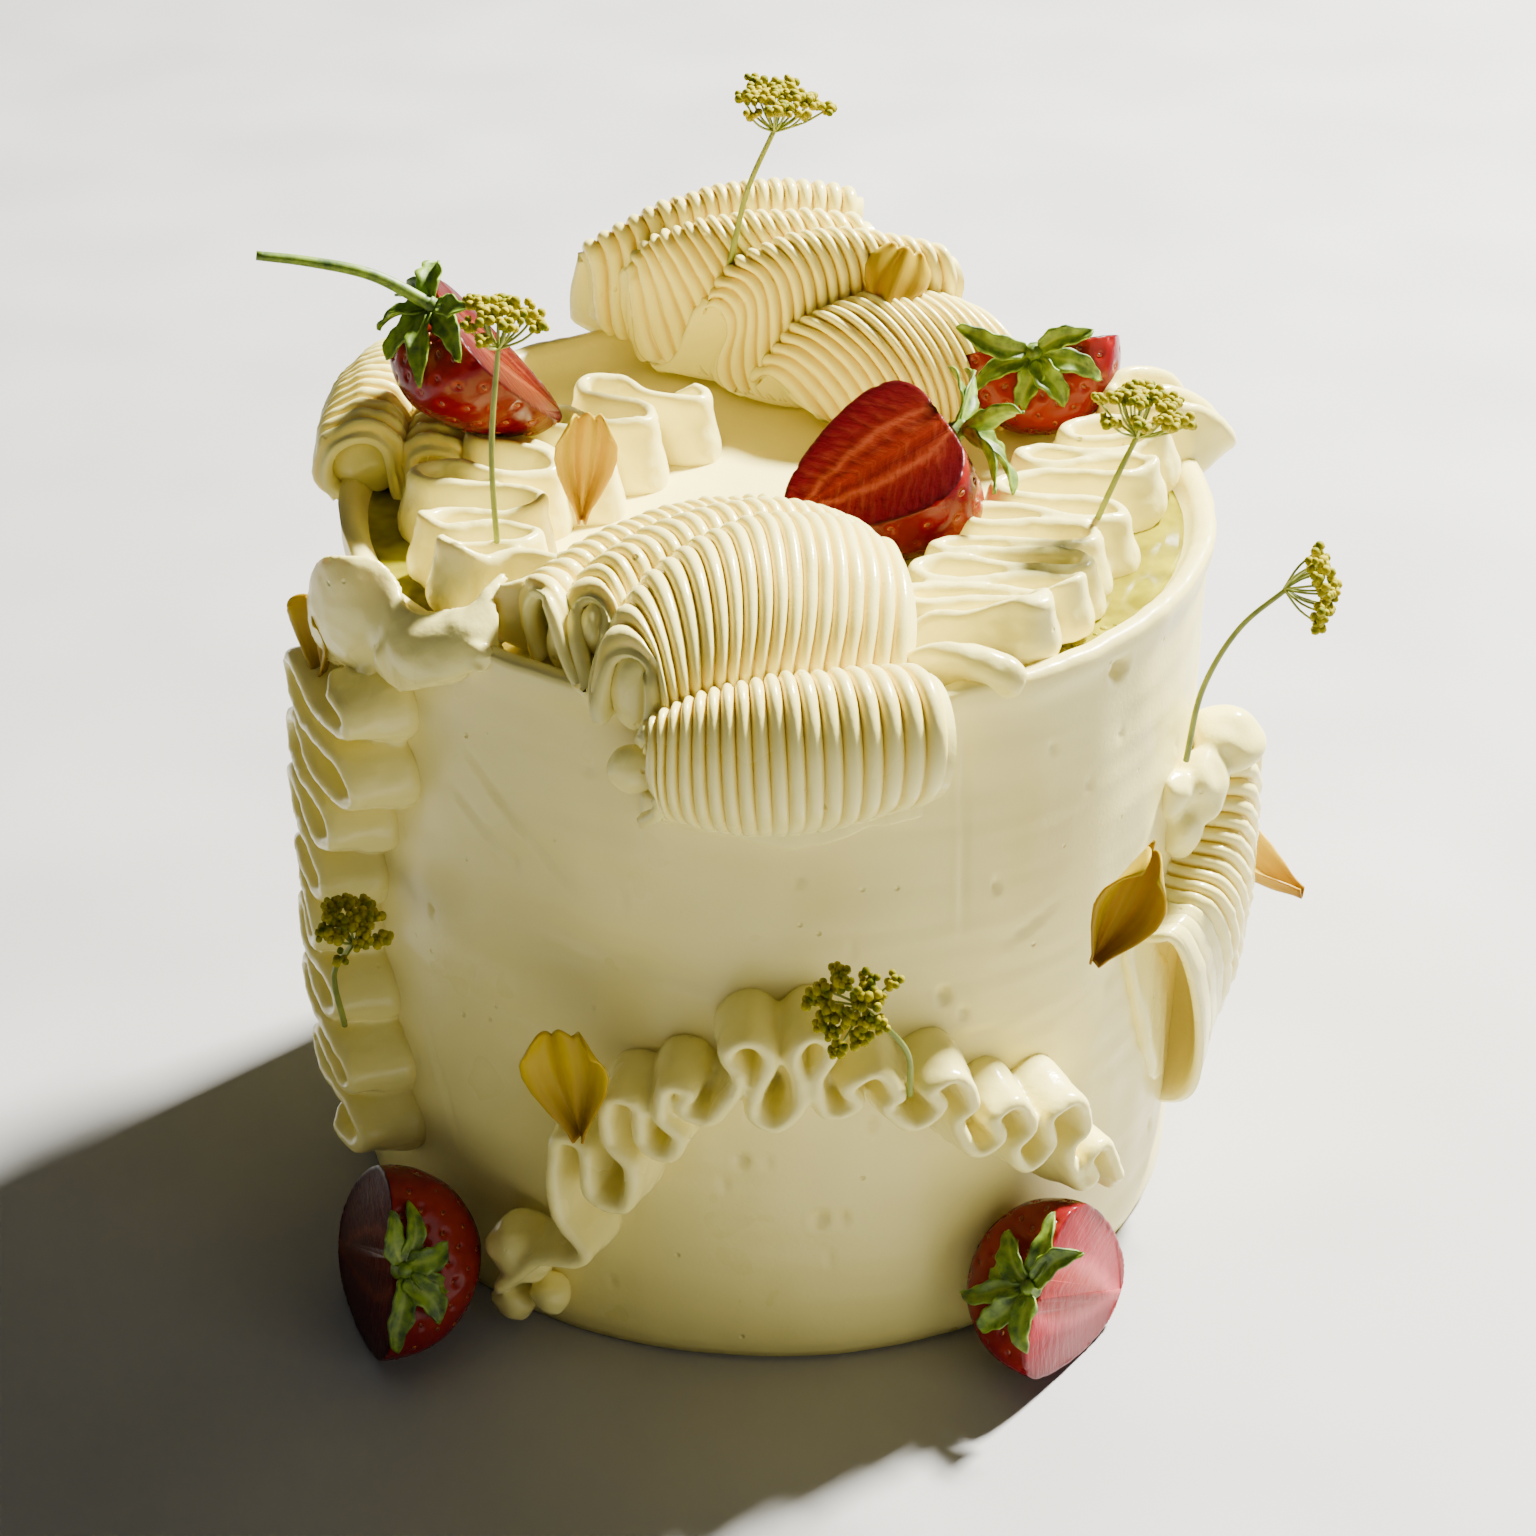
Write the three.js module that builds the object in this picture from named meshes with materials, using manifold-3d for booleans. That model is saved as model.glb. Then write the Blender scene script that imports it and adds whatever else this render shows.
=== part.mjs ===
// Olive oil cake: a tall round cake under smooth cream, dressed with piped ruffles,
// comb-ribbed ribbons of cream, halved strawberries, yellow flower heads, petals and a pool of oil.
// Millimetres, +Z up. The origin is on the cake's axis, on the plane that the cake stands on.
// Azimuth 0 is the front (-Y) and grows towards +X.
import * as THREE from 'three';
import { mergeVertices } from 'three/addons/utils/BufferGeometryUtils.js';
import Module from 'manifold-3d';

const wasm = await Module();
wasm.setup();

// Driving dimensions
const BASE_RADIUS = 87.0;
const TOP_RADIUS = 86.1;
const TOP_LEVEL = 146.0;
const RIM_LEVEL = 150.2;
const RIM_RADIUS = 86.2;
const RIM_WIDTH = 5.0;
const GUTTER_RADIUS = 77.0;
const GUTTER_DEPTH = 1.0;
const CAKE_SIDES = 48;
const GAP = 0.35;
const EDGE_ROUND = 8.0;
const EDGE_CENTRE = 80.0;
const RIB_DEPTH = 1.5;
const RIBBON_THICKNESS = 4.2;
const ARCH_FULLNESS = 0.75;
const RUFFLE_HEIGHT = 12.5;
const RUFFLE_FOOT = 8.0;
const RUFFLE_EDGE = 3.0;
const LOBE_SHARE = 0.29;
const LOBE_LIMIT = 6.0;
const BERRY_LENGTH = 37.0;
const BERRY_RADIUS = 17.0;
const BERRY_SIDES = 14;
const HUB_RADIUS = 2.6;
const LEAF_WIDTH = 6.0;
const LEAF_THICKNESS = 0.7;
const PETAL_LENGTH = 24.0;
const PETAL_WIDTH = 14.5;
const PETAL_THICKNESS = 0.7;
const STEM_RADIUS = 0.75;
const RAY_RADIUS = 0.45;
const FLORET_RADIUS = 1.7;
const HEAD_RADIUS = 9.5;
const HEAD_DEPTH = 8.5;
const GOLDEN_ANGLE = 2.4;

// Finishes
const paint = (color, roughness) => new THREE.MeshStandardMaterial({ color, roughness, metalness: 0 });
const CREAM = paint('#f4e9c4', 0.45);
const OIL = paint('#d9b413', 0.08);
const BERRY = paint('#b3141a', 0.35);
const LEAF = paint('#5f7d2b', 0.6);
const FLOWER = paint('#b9a425', 0.7);
const PETAL = paint('#e2960c', 0.55);

const vec = (x, y, z) => new THREE.Vector3(x, y, z);
const deg = THREE.MathUtils.degToRad;

// Merge equal corners and drop the triangles that this leaves without an area
function weld(geometry) {
  const bare = geometry.clone();
  for (const name of Object.keys(bare.attributes)) {
    if (name !== 'position') bare.deleteAttribute(name);
  }
  const merged = mergeVertices(bare, 1e-4);
  const index = merged.index.array;
  const kept = [];
  for (let i = 0; i < index.length; i += 3) {
    const [a, b, c] = [index[i], index[i + 1], index[i + 2]];
    if (a !== b && b !== c && c !== a) kept.push(a, b, c);
  }
  merged.setIndex(kept);
  return merged;
}

// A closed mesh as a solid that can be joined and cut
function toSolid(geometry) {
  const mesh = weld(geometry);
  return new wasm.Manifold(new wasm.Mesh({
    numProp: 3,
    vertProperties: new Float32Array(mesh.attributes.position.array),
    triVerts: new Uint32Array(mesh.index.array),
  }));
}

// The outer skin of a solid: sealed hollows are filled and loose scraps are dropped
function toGeometry(solid) {
  const mesh = solid.getMesh();
  const shells = shellsOf(mesh);
  const largest = shells.reduce((best, shell) => (shell.volume > best.volume ? shell : best));
  const geometry = new THREE.BufferGeometry();
  geometry.setAttribute('position', new THREE.Float32BufferAttribute(mesh.vertProperties, 3));
  geometry.setIndex(largest.index);
  return weld(geometry);
}

// Triangles of a mesh, sorted into the closed shells that they form, each with its volume
function shellsOf({ triVerts, vertProperties }) {
  const parent = Array.from({ length: vertProperties.length / 3 }, (_, i) => i);
  const rootOf = (i) => {
    let root = i;
    while (parent[root] !== root) root = parent[root];
    parent[i] = root;
    return root;
  };
  for (let i = 0; i < triVerts.length; i += 3) {
    parent[rootOf(triVerts[i + 1])] = rootOf(triVerts[i]);
    parent[rootOf(triVerts[i + 2])] = rootOf(triVerts[i]);
  }
  const corner = (i) => vec(...vertProperties.slice(3 * i, 3 * i + 3));
  const shells = new Map();
  for (let i = 0; i < triVerts.length; i += 3) {
    const root = rootOf(triVerts[i]);
    if (!shells.has(root)) shells.set(root, { index: [], volume: 0 });
    const [a, b, c] = triVerts.slice(i, i + 3);
    shells.get(root).index.push(a, b, c);
    shells.get(root).volume += corner(a).dot(corner(b).cross(corner(c))) / 6;
  }
  return [...shells.values()];
}

// Triangles that close the end ring of a loft, given in the order of the ring's own corners
function capFaces(ring, forward) {
  const origin = ring[0];
  const normal = vec(0, 0, 0);
  for (let i = 1; i + 1 < ring.length; i += 1) {
    normal.add(ring[i].clone().sub(origin).cross(ring[i + 1].clone().sub(origin)));
  }
  normal.normalize();
  const right = Math.abs(normal.z) < 0.9 ? vec(0, 0, 1).cross(normal) : vec(1, 0, 0).cross(normal);
  right.normalize();
  const up = normal.clone().cross(right);
  const flat = ring.map((p) => new THREE.Vector2(p.clone().sub(origin).dot(right), p.clone().sub(origin).dot(up)));
  const faces = THREE.ShapeUtils.triangulateShape(flat, []);
  const runsForward = faces.some((f) => f.some((a, k) => f[(k + 1) % 3] === (a + 1) % ring.length));
  return runsForward === forward ? faces : faces.map(([a, b, c]) => [a, c, b]);
}

// A closed solid through rings of equally many corners, its faces pointing out
function loft(rings) {
  const count = rings[0].length;
  const index = [];
  for (let i = 0; i + 1 < rings.length; i += 1) {
    for (let j = 0; j < count; j += 1) {
      const a = i * count + j;
      const b = i * count + ((j + 1) % count);
      index.push(a, b, b + count, a, b + count, a + count);
    }
  }
  const last = (rings.length - 1) * count;
  for (const [a, b, c] of capFaces(rings[0], false)) index.push(a, b, c);
  for (const [a, b, c] of capFaces(rings.at(-1), true)) index.push(a + last, b + last, c + last);
  const points = rings.flat();
  let volume = 0;
  for (let i = 0; i < index.length; i += 3) {
    volume += points[index[i]].dot(points[index[i + 1]].clone().cross(points[index[i + 2]]));
  }
  if (volume < 0) {
    for (let i = 0; i < index.length; i += 3) [index[i + 1], index[i + 2]] = [index[i + 2], index[i + 1]];
  }
  const geometry = new THREE.BufferGeometry();
  geometry.setAttribute('position', new THREE.Float32BufferAttribute(points.flatMap((p) => [p.x, p.y, p.z]), 3));
  geometry.setIndex(index);
  return geometry;
}

// A solid turned about +Z from a profile of [radius, height] pairs that starts and ends on the axis
function turned(profile, sides) {
  const lathe = new THREE.LatheGeometry(profile.map(([r, z]) => new THREE.Vector2(r, z)), sides);
  lathe.rotateX(Math.PI / 2);
  return lathe;
}

// The cake's skin, with its low gutter inside the rim that the scraper left standing
function cakeProfile(grow) {
  return [
    [0, -grow],
    [BASE_RADIUS - 1 + grow, -grow],
    [BASE_RADIUS + grow, 1.2],
    [TOP_RADIUS + grow, RIM_LEVEL - EDGE_ROUND],
    [RIM_RADIUS + 1.3 + grow, RIM_LEVEL - 1.6],
    [RIM_RADIUS, RIM_LEVEL + grow],
    [RIM_RADIUS - RIM_WIDTH, TOP_LEVEL + grow],
    [GUTTER_RADIUS, TOP_LEVEL - GUTTER_DEPTH + grow],
    [0, TOP_LEVEL + grow],
  ];
}

// Oil lying in the gutter, from one azimuth to another, thinning out at both ends
function oilPool({ from, to, inner }, grow) {
  const steps = Math.round(Math.abs(to - from) / 6);
  const rings = [];
  for (let i = 0; i <= steps; i += 1) {
    const share = i / steps;
    const azimuth = deg(from + (to - from) * share);
    const swell = 0.15 + 0.85 * Math.sin(Math.PI * share) ** 0.5;
    const reach = GUTTER_RADIUS + 0.5 - (GUTTER_RADIUS - inner) * swell - grow;
    const section = [
      [reach, TOP_LEVEL + GAP],
      [GUTTER_RADIUS - 1, TOP_LEVEL + 0.5 + 0.6 * swell + grow],
      [RIM_RADIUS - RIM_WIDTH - 0.2 + grow, TOP_LEVEL + 0.7 + 0.7 * swell + grow],
      [RIM_RADIUS - RIM_WIDTH - 0.4, TOP_LEVEL + GAP],
      [GUTTER_RADIUS, TOP_LEVEL - GUTTER_DEPTH + GAP],
    ];
    rings.push(section.map(([r, z]) => vec(r * Math.sin(azimuth), -r * Math.cos(azimuth), z)));
  }
  return loft(rings);
}

// Place of a point of the unrolled skin: plan x, y on top, running on down the side past the rim,
// with n the height off the skin
function drape(x, y, n) {
  const reach = Math.hypot(x, y);
  const bend = EDGE_ROUND * (Math.PI / 2);
  const ramp = THREE.MathUtils.smoothstep(reach, EDGE_CENTRE - EDGE_ROUND, EDGE_CENTRE);
  const turn = THREE.MathUtils.clamp((reach - EDGE_CENTRE) / EDGE_ROUND, 0, Math.PI / 2);
  const drop = Math.max(0, reach - EDGE_CENTRE - bend);
  const flat = Math.min(reach, EDGE_CENTRE);
  const radius = flat + (EDGE_ROUND + n) * Math.sin(turn);
  const level = TOP_LEVEL + ramp * (RIM_LEVEL - TOP_LEVEL - EDGE_ROUND) + (ramp * EDGE_ROUND + n) * Math.cos(turn);
  const side = radius / Math.max(reach, 1e-6);
  return vec(x * side, y * side, level - drop);
}

// Place of a point of the side: arc length from the front, height, and n off the skin
function wrap(arc, height, n) {
  const radius = BASE_RADIUS + n;
  return vec(radius * Math.sin(arc / BASE_RADIUS), -radius * Math.cos(arc / BASE_RADIUS), height);
}

const arcAt = (azimuth) => deg(azimuth) * BASE_RADIUS;

// A round blob of cream, where the piping bag stopped
function blob(centre, radius) {
  const ball = new THREE.SphereGeometry(radius, 10, 6);
  ball.translate(centre.x, centre.y, centre.z);
  return toSolid(ball);
}

// A cream ruffle piped back and forth: each turn of the path is a round lobe, each leg between
// two turns is a wall that is fat at its foot and thin at its edge. Legs are joined one by one.
function ruffle({ turns, place, ends = [] }, grow = 0) {
  const points = turns.map(([x, y]) => vec(x, y, 0));
  const nodes = [points[0]];
  for (let i = 1; i + 1 < points.length; i += 1) {
    const span = points[i + 1].clone().sub(points[i - 1]);
    const lobe = Math.min(span.length() * LOBE_SHARE, LOBE_LIMIT);
    const along = span.normalize().multiplyScalar(lobe);
    const back = points[i - 1].clone().add(points[i + 1]).multiplyScalar(0.5).sub(points[i]).normalize();
    const shoulder = points[i].clone().addScaledVector(back, lobe);
    nodes.push(shoulder.clone().sub(along), points[i].clone(), shoulder.clone().add(along));
  }
  nodes.push(points.at(-1));
  const path = new THREE.CatmullRomCurve3(nodes, false, 'centripetal');
  const spans = nodes.length - 1;
  const foot = RUFFLE_FOOT / 2 + grow;
  const edge = RUFFLE_EDGE / 2 + grow;
  const section = [
    [-foot * 0.85, GAP - grow],
    [foot * 0.85, GAP - grow],
    [foot, RUFFLE_HEIGHT * 0.3],
    [edge, RUFFLE_HEIGHT + grow],
    [-edge, RUFFLE_HEIGHT + grow],
    [-foot, RUFFLE_HEIGHT * 0.3],
  ];
  const ringAt = (span) => {
    const t = span / spans;
    const at = path.getPoint(t);
    const tangent = path.getPoint(Math.min(1, t + 2e-3)).sub(path.getPoint(Math.max(0, t - 2e-3))).normalize();
    const taper = Math.min(1, 0.5 + Math.min(span, spans - span));
    return section.map(([side, n]) => place(at.x - tangent.y * side * taper, at.y + tangent.x * side * taper, n));
  };
  const legs = [];
  for (let i = 0; i + 1 < points.length; i += 1) {
    const from = Math.max(0, 3 * i - 1);
    const to = Math.min(spans, 3 * i + 2);
    const stations = [from];
    for (let span = from; span < to; span += 1) {
      if (span % 3 !== 0) stations.push(span + 0.5);
      stations.push(span + 1);
    }
    legs.push(toSolid(loft(stations.map(ringAt))));
  }
  for (const [x, y, radius] of ends) legs.push(blob(place(x, y, radius * 0.9 + GAP), radius + grow));
  return legs.reduce((sum, leg) => sum.add(leg));
}

// A point of a line that passes through its left, middle and right points
function onLine([left, middle, right], t) {
  const a = (1 - t) * (1 - 2 * t);
  const b = 4 * t * (1 - t);
  const c = t * (2 * t - 1);
  return vec(...left).multiplyScalar(a).add(vec(...middle).multiplyScalar(b)).add(vec(...right).multiplyScalar(c));
}

// A wide ribbon of cream, ribbed by the comb it was piped through, laid in folds.
// Every fold rises from one groove line over its crest line to the next groove line; feet are the
// lines where the legs between folds stand. Ribs run along the ribbon's travel.
function ribbedRibbon({ grooves, crests, feet, ribs, knob, steps = 4 }, grow = 0) {
  const columns = grow > 0 ? ribs : 2 * ribs;
  const thickness = RIBBON_THICKNESS;
  const reach = grow > 0 ? 0.02 : 0;
  const across = (share) => share * (1 + 2 * reach) - reach;
  const rings = [];
  crests.forEach((crest, fold) => {
    const isLast = fold === crests.length - 1;
    for (let k = 0; k < steps + (isLast ? 1 : 0); k += 1) {
      const angle = (Math.PI * k) / steps;
      const ring = [];
      for (let j = 0; j <= columns; j += 1) {
        const arch = archAt(grooves[fold], grooves[fold + 1], crest, across(j / columns));
        const ridge = j % 2 === 0 ? -RIB_DEPTH / 2 : RIB_DEPTH / 2;
        const point = arch.middle.clone().addScaledVector(arch.half, -Math.cos(angle));
        point.addScaledVector(arch.rise, Math.sin(angle) ** ARCH_FULLNESS);
        const out = arch.half.clone().normalize().multiplyScalar(-Math.cos(angle));
        out.addScaledVector(arch.rise.clone().normalize(), Math.sin(angle)).normalize();
        ring.push(point.addScaledVector(out, grow > 0 ? RIB_DEPTH / 2 + grow : ridge));
      }
      for (const t of [1, 0.5, 0]) {
        const arch = archAt(feet[fold], feet[fold + 1], crest, across(t));
        const open = k === 0 || k === steps ? 1 : Math.max(0.12, 1 - thickness / arch.half.length());
        const lift = Math.max(0, (Math.sin(angle) - 0.45) / 0.55) ** 0.6;
        const hollow = grow > 0 ? 0 : lift * Math.max(0.05, 1 - thickness / arch.rise.length());
        const point = arch.middle.clone().addScaledVector(arch.half, -Math.cos(angle) * open);
        ring.push(point.addScaledVector(arch.rise, hollow));
      }
      rings.push(ring);
    }
  });
  const ribbon = toSolid(loft(rings));
  return knob ? ribbon.add(blob(vec(...knob[0]), knob[1] + grow)) : ribbon;
}

// Middle, half span and rise of an arch between two foot lines, at share t along them
function archAt(left, right, crest, t) {
  const from = onLine(left, t);
  const to = onLine(right, t);
  const middle = from.clone().add(to).multiplyScalar(0.5);
  return { middle, half: to.clone().sub(middle), rise: onLine(crest, t).sub(middle) };
}

// The wide ribbon at the front, four folds from the flat top over the rim and down the side
const FRONT_RIBBON = {
  ribs: 19,
  grooves: [
    [[-47, -55, 150], [-24, -29, 149], [4, -25, 149]],
    [[-42, -62, 154], [-16, -41, 159], [8, -35, 157]],
    [[-31, -75, 155], [-8, -54, 162], [19, -44, 156]],
    [[-22, -92, 150], [-3, -84, 154], [24, -74, 152]],
    [[-22.5, -87.5, 129], [-1, -90, 124.5], [26.5, -86, 129]],
  ],
  crests: [
    [[-45, -63, 160], [-24, -38, 162], [1, -32, 162]],
    [[-37, -67, 162], [-10, -47, 168], [16, -38, 161]],
    [[-29.5, -83, 159], [-3, -63.5, 170], [23, -54, 161]],
    [[-25, -95, 141], [-2, -98, 146], [31, -93, 149]],
  ],
  feet: [
    [[-46, -54, 144], [-24, -30, 144], [4, -26, 144]],
    [[-40, -66, 144], [-16, -44, 144], [8, -37, 144]],
    [[-31, -76, 146], [-8, -56, 144], [19, -47, 144]],
    [[-22, -84, 144], [-3, -84, 146], [24, -74, 144]],
    [[-22, -84, 129], [-1, -87, 124.5], [26, -83, 129]],
  ],
};

// The tall mound of ribbed ribbon at the back of the top
const BACK_RIBBON = {
  ribs: 19,
  grooves: [
    [[-43, 74, 156], [-19, 80, 156], [10, 82, 156]],
    [[-32, 67, 165], [-11, 68, 172], [15, 68, 172]],
    [[-19, 55, 158], [-1, 58, 168], [24, 60, 170]],
    [[-4, 45, 152], [12, 50, 163], [36, 56, 163]],
    [[19, 29, 149], [34, 35, 149], [54, 42, 149]],
  ],
  crests: [
    [[-38, 73, 171], [-14, 74, 183], [15, 75, 182]],
    [[-28, 61, 174], [-11, 60, 182], [17, 62, 182]],
    [[-13, 49, 170], [7, 51, 182], [35, 54, 178]],
    [[5, 37, 159], [22, 39, 170], [46, 46, 165]],
  ],
  feet: [
    [[-41, 73, 145], [-19, 78, 145], [10, 79, 145]],
    [[-31, 67, 145], [-11, 68, 145], [15, 69, 145]],
    [[-17, 56, 145], [-1, 60, 145], [24, 62, 145]],
    [[-3, 45, 145], [12, 51, 145], [36, 58, 145]],
    [[18, 31, 145], [33, 37, 145], [52, 44, 145]],
  ],
};

// The ribbed ribbon that folds over the rim on the left
const LEFT_RIBBON = {
  ribs: 14,
  grooves: [
    [[-60, 4, 149], [-59, 22, 149], [-56, 42, 149]],
    [[-75, 3, 153], [-73, 24, 156], [-70, 45, 154]],
    [[-92, 2, 149], [-92, 26, 149], [-86, 46, 149]],
  ],
  crests: [
    [[-67, 3, 157], [-66, 24, 160], [-63, 44, 158]],
    [[-84, 2, 160], [-83, 25, 163], [-79, 46, 160]],
  ],
  feet: [
    [[-60, 4, 144], [-59, 22, 144], [-56, 42, 144]],
    [[-75, 3, 144], [-73, 24, 144], [-70, 44, 144]],
    [[-88, 2, 147], [-88, 24, 147], [-81, 42, 147]],
  ],
};

// The ribbed ribbon that hangs on the right side like a folded tongue, its ribs slanting down
const onWall = (azimuth, height, n) => wrap(arcAt(azimuth), height, n).toArray();
const RIGHT_RIBBON = {
  ribs: 17,
  grooves: [
    [onWall(64, 108, 3), onWall(51, 82, 2), onWall(60, 42, 3)],
    [onWall(88, 88, 4), onWall(84, 56, 4), onWall(75, 18, 4)],
  ],
  crests: [[onWall(72, 108, 11), onWall(60, 76, 13), onWall(68, 28, 11)]],
  feet: [
    [onWall(64, 108, -2), onWall(51, 82, -2), onWall(60, 42, -2)],
    [onWall(88, 88, -2), onWall(84, 56, -2), onWall(75, 18, -2)],
  ],
  knob: [onWall(75, 107, 6.5), 7.5],
};

// Turns of the ruffles: plan x, y for those on top, azimuth and height for those on the side
const LEFT_TOP_RUFFLE = {
  place: drape,
  turns: [
    [-22, 34], [-16, 24], [-40, 31], [-26, 11], [-50, 17], [-34, -5], [-60, 6], [-45, -11], [-70, -9], [-50, -26],
    [-65, -29], [-41, -43], [-60, -43], [-51, -56], [-66, -60], [-75, -45], [-73, -61], [-87, -51], [-82, -65],
  ],
};
const RIGHT_TOP_RUFFLE = {
  place: drape,
  turns: [
    [41, -79], [27, -69], [46, -60], [29, -56], [56, -51], [30, -43], [58, -40], [34, -32], [59, -28], [38, -20],
    [67, -21], [43, -8], [74, 0], [48, 5], [77, 10], [58, 18], [84, 23], [68, 32], [82, 40],
  ],
};
const onSide = (turns) => turns.map(([azimuth, height]) => [arcAt(azimuth), height]);
const ARCH_RUFFLE = {
  place: wrap,
  turns: onSide([
    [-34, 10], [-21, 30], [-24, 56], [-16, 44], [-17, 69], [-11, 58], [-11, 74], [-6, 67], [-2, 86], [1, 66],
    [5, 87], [7, 69], [12, 78], [16, 64], [21, 74], [24, 55], [29, 64], [31, 48], [37, 60], [39, 37], [42, 45], [46, 29],
  ]),
  ends: [[arcAt(-31), 22, 7], [arcAt(-33.5), 6.5, 4.6], [arcAt(-28), 10.5, 4.2]],
};
const SIDE_RUFFLE = {
  place: wrap,
  turns: onSide([
    [-66, 134], [-50, 120], [-76, 114], [-58, 101], [-79, 97], [-64, 84], [-78, 80], [-66, 69], [-77, 66],
    [-62, 56], [-75, 53], [-58, 43], [-71, 39], [-56, 30], [-67, 26],
  ]),
};

// A halved strawberry: turned about its own axis, cut along it. hub is its stem end, axis points
// out of the stem end, face is the outward direction of the cut, cut its distance from the axis
function berryFrame({ hub, axis, face }) {
  const z = vec(...axis).normalize();
  const x = vec(...face);
  x.addScaledVector(z, -x.dot(z)).normalize();
  const y = z.clone().cross(x);
  return new THREE.Matrix4().makeBasis(x, y, z).setPosition(vec(...hub));
}

// Shares of a strawberry's radius and length from its tip to its stem end
const BERRY_OUTLINE = [[0, 0], [0.34, 0.06], [0.68, 0.28], [0.93, 0.55], [1, 0.74], [0.84, 0.92], [0.4, 1.0], [0, 0.98]];

function halfBerry(berry, grow = 0) {
  const radius = BERRY_RADIUS * (berry.girth ?? 1);
  const profile = BERRY_OUTLINE.map(([r, z]) => [
    r > 0 ? r * radius + grow : 0,
    (z - 1) * BERRY_LENGTH + (z - 0.5) * 2 * grow,
  ]);
  const room = 3 * BERRY_LENGTH;
  const keep = new THREE.BoxGeometry(room, room, room);
  keep.translate((berry.cut ?? 1.5) + grow - room / 2, 0, 0);
  const half = toGeometry(toSolid(turned(profile, BERRY_SIDES)).intersect(toSolid(keep)));
  half.applyMatrix4(berryFrame(berry));
  return toSolid(half);
}

// A thin wavy blade, used for leaves and petals: rows of points from root to tip, both faces alike
function blade(rows, thickness) {
  const rings = rows.map((row, i) => {
    const next = rows[Math.min(i + 1, rows.length - 1)];
    const previous = rows[Math.max(i - 1, 0)];
    const normals = row.map((_, j) => {
      const across = row[Math.min(j + 1, row.length - 1)].clone().sub(row[Math.max(j - 1, 0)]);
      return across.cross(next[j].clone().sub(previous[j])).normalize().multiplyScalar(thickness / 2);
    });
    const upper = row.map((p, j) => p.clone().add(normals[j]));
    const lower = row.map((p, j) => p.clone().sub(normals[j])).reverse();
    return [...upper, ...lower];
  });
  return loft(rings);
}

// One green leaf of a strawberry: it leaves the hub at a turn about the axis, rises and droops
function calyxLeaf([turn, length, lift]) {
  const stations = [[0.08, 0.45], [0.5, 1], [1, 0.14]];
  const rows = stations.map(([share, half]) => [-1, 0, 1].map((edge) => {
    const out = length * share * Math.cos(deg(lift));
    const rise = length * (share * Math.sin(deg(lift)) - 0.12 * share * share) + 0.8 * Math.abs(edge) * half;
    return vec(out, (edge * half * LEAF_WIDTH) / 2, 1.6 + rise).applyAxisAngle(vec(0, 0, 1), deg(turn));
  }));
  return toSolid(blade(rows, LEAF_THICKNESS));
}

// The green cap that stays on a strawberry: a small hub with its leaves, and a stem where it has one
function calyx(berry) {
  const hub = turned([[0, 0.5], [HUB_RADIUS, 0.7], [HUB_RADIUS * 0.7, 2.6], [0, 3.0]], 6);
  const leaves = berry.leaves.map(calyxLeaf);
  const cap = toGeometry(leaves.reduce((sum, leaf) => sum.add(leaf), toSolid(hub)));
  cap.applyMatrix4(berryFrame(berry));
  if (!berry.stem) return toSolid(cap);
  return toSolid(cap).add(toSolid(rod(berry.stem.map((p) => vec(...p)), 1.4, 0.9, 6, 5)));
}

// A round tapering rod along a smooth curve
function rod(points, startRadius, endRadius, sides, steps) {
  const curve = new THREE.CatmullRomCurve3(points);
  const frames = curve.computeFrenetFrames(steps, false);
  const rings = [];
  for (let i = 0; i <= steps; i += 1) {
    const at = curve.getPointAt(i / steps);
    const radius = startRadius + (endRadius - startRadius) * (i / steps);
    rings.push(Array.from({ length: sides }, (_, k) => {
      const angle = (2 * Math.PI * k) / sides;
      return at.clone().addScaledVector(frames.normals[i], Math.cos(angle) * radius)
        .addScaledVector(frames.binormals[i], Math.sin(angle) * radius);
    }));
  }
  return loft(rings);
}

// A flower head: a stem, rays that spread like the ribs of an umbrella, and a floret on each ray
function flowerHead({ stem, aim, rays = 8, spread = 1, phase = 0 }) {
  const points = stem.map((p) => vec(...p));
  const hub = points.at(-1);
  const up = vec(...aim).normalize();
  const right = (Math.abs(up.x) < 0.8 ? vec(1, 0, 0) : vec(0, 1, 0)).cross(up).normalize();
  const front = up.clone().cross(right);
  let joined = toSolid(rod(points, STEM_RADIUS, STEM_RADIUS * 0.8, 4, 4));
  for (let i = 0; i < rays; i += 1) {
    const ring = i % 3 === 0 ? 0.45 : 1;
    const angle = phase + i * GOLDEN_ANGLE;
    const out = right.clone().multiplyScalar(Math.cos(angle)).addScaledVector(front, Math.sin(angle));
    const tip = hub.clone().addScaledVector(out, HEAD_RADIUS * spread * ring);
    tip.addScaledVector(up, HEAD_DEPTH - 3.5 * ring);
    const start = hub.clone().addScaledVector(up, -0.8);
    joined = joined.add(toSolid(rod([start, tip], RAY_RADIUS, RAY_RADIUS, 3, 1)));
    const floret = new THREE.OctahedronGeometry(FLORET_RADIUS, 0);
    floret.translate(tip.x, tip.y, tip.z);
    joined = joined.add(toSolid(floret));
  }
  return joined;
}

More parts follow.
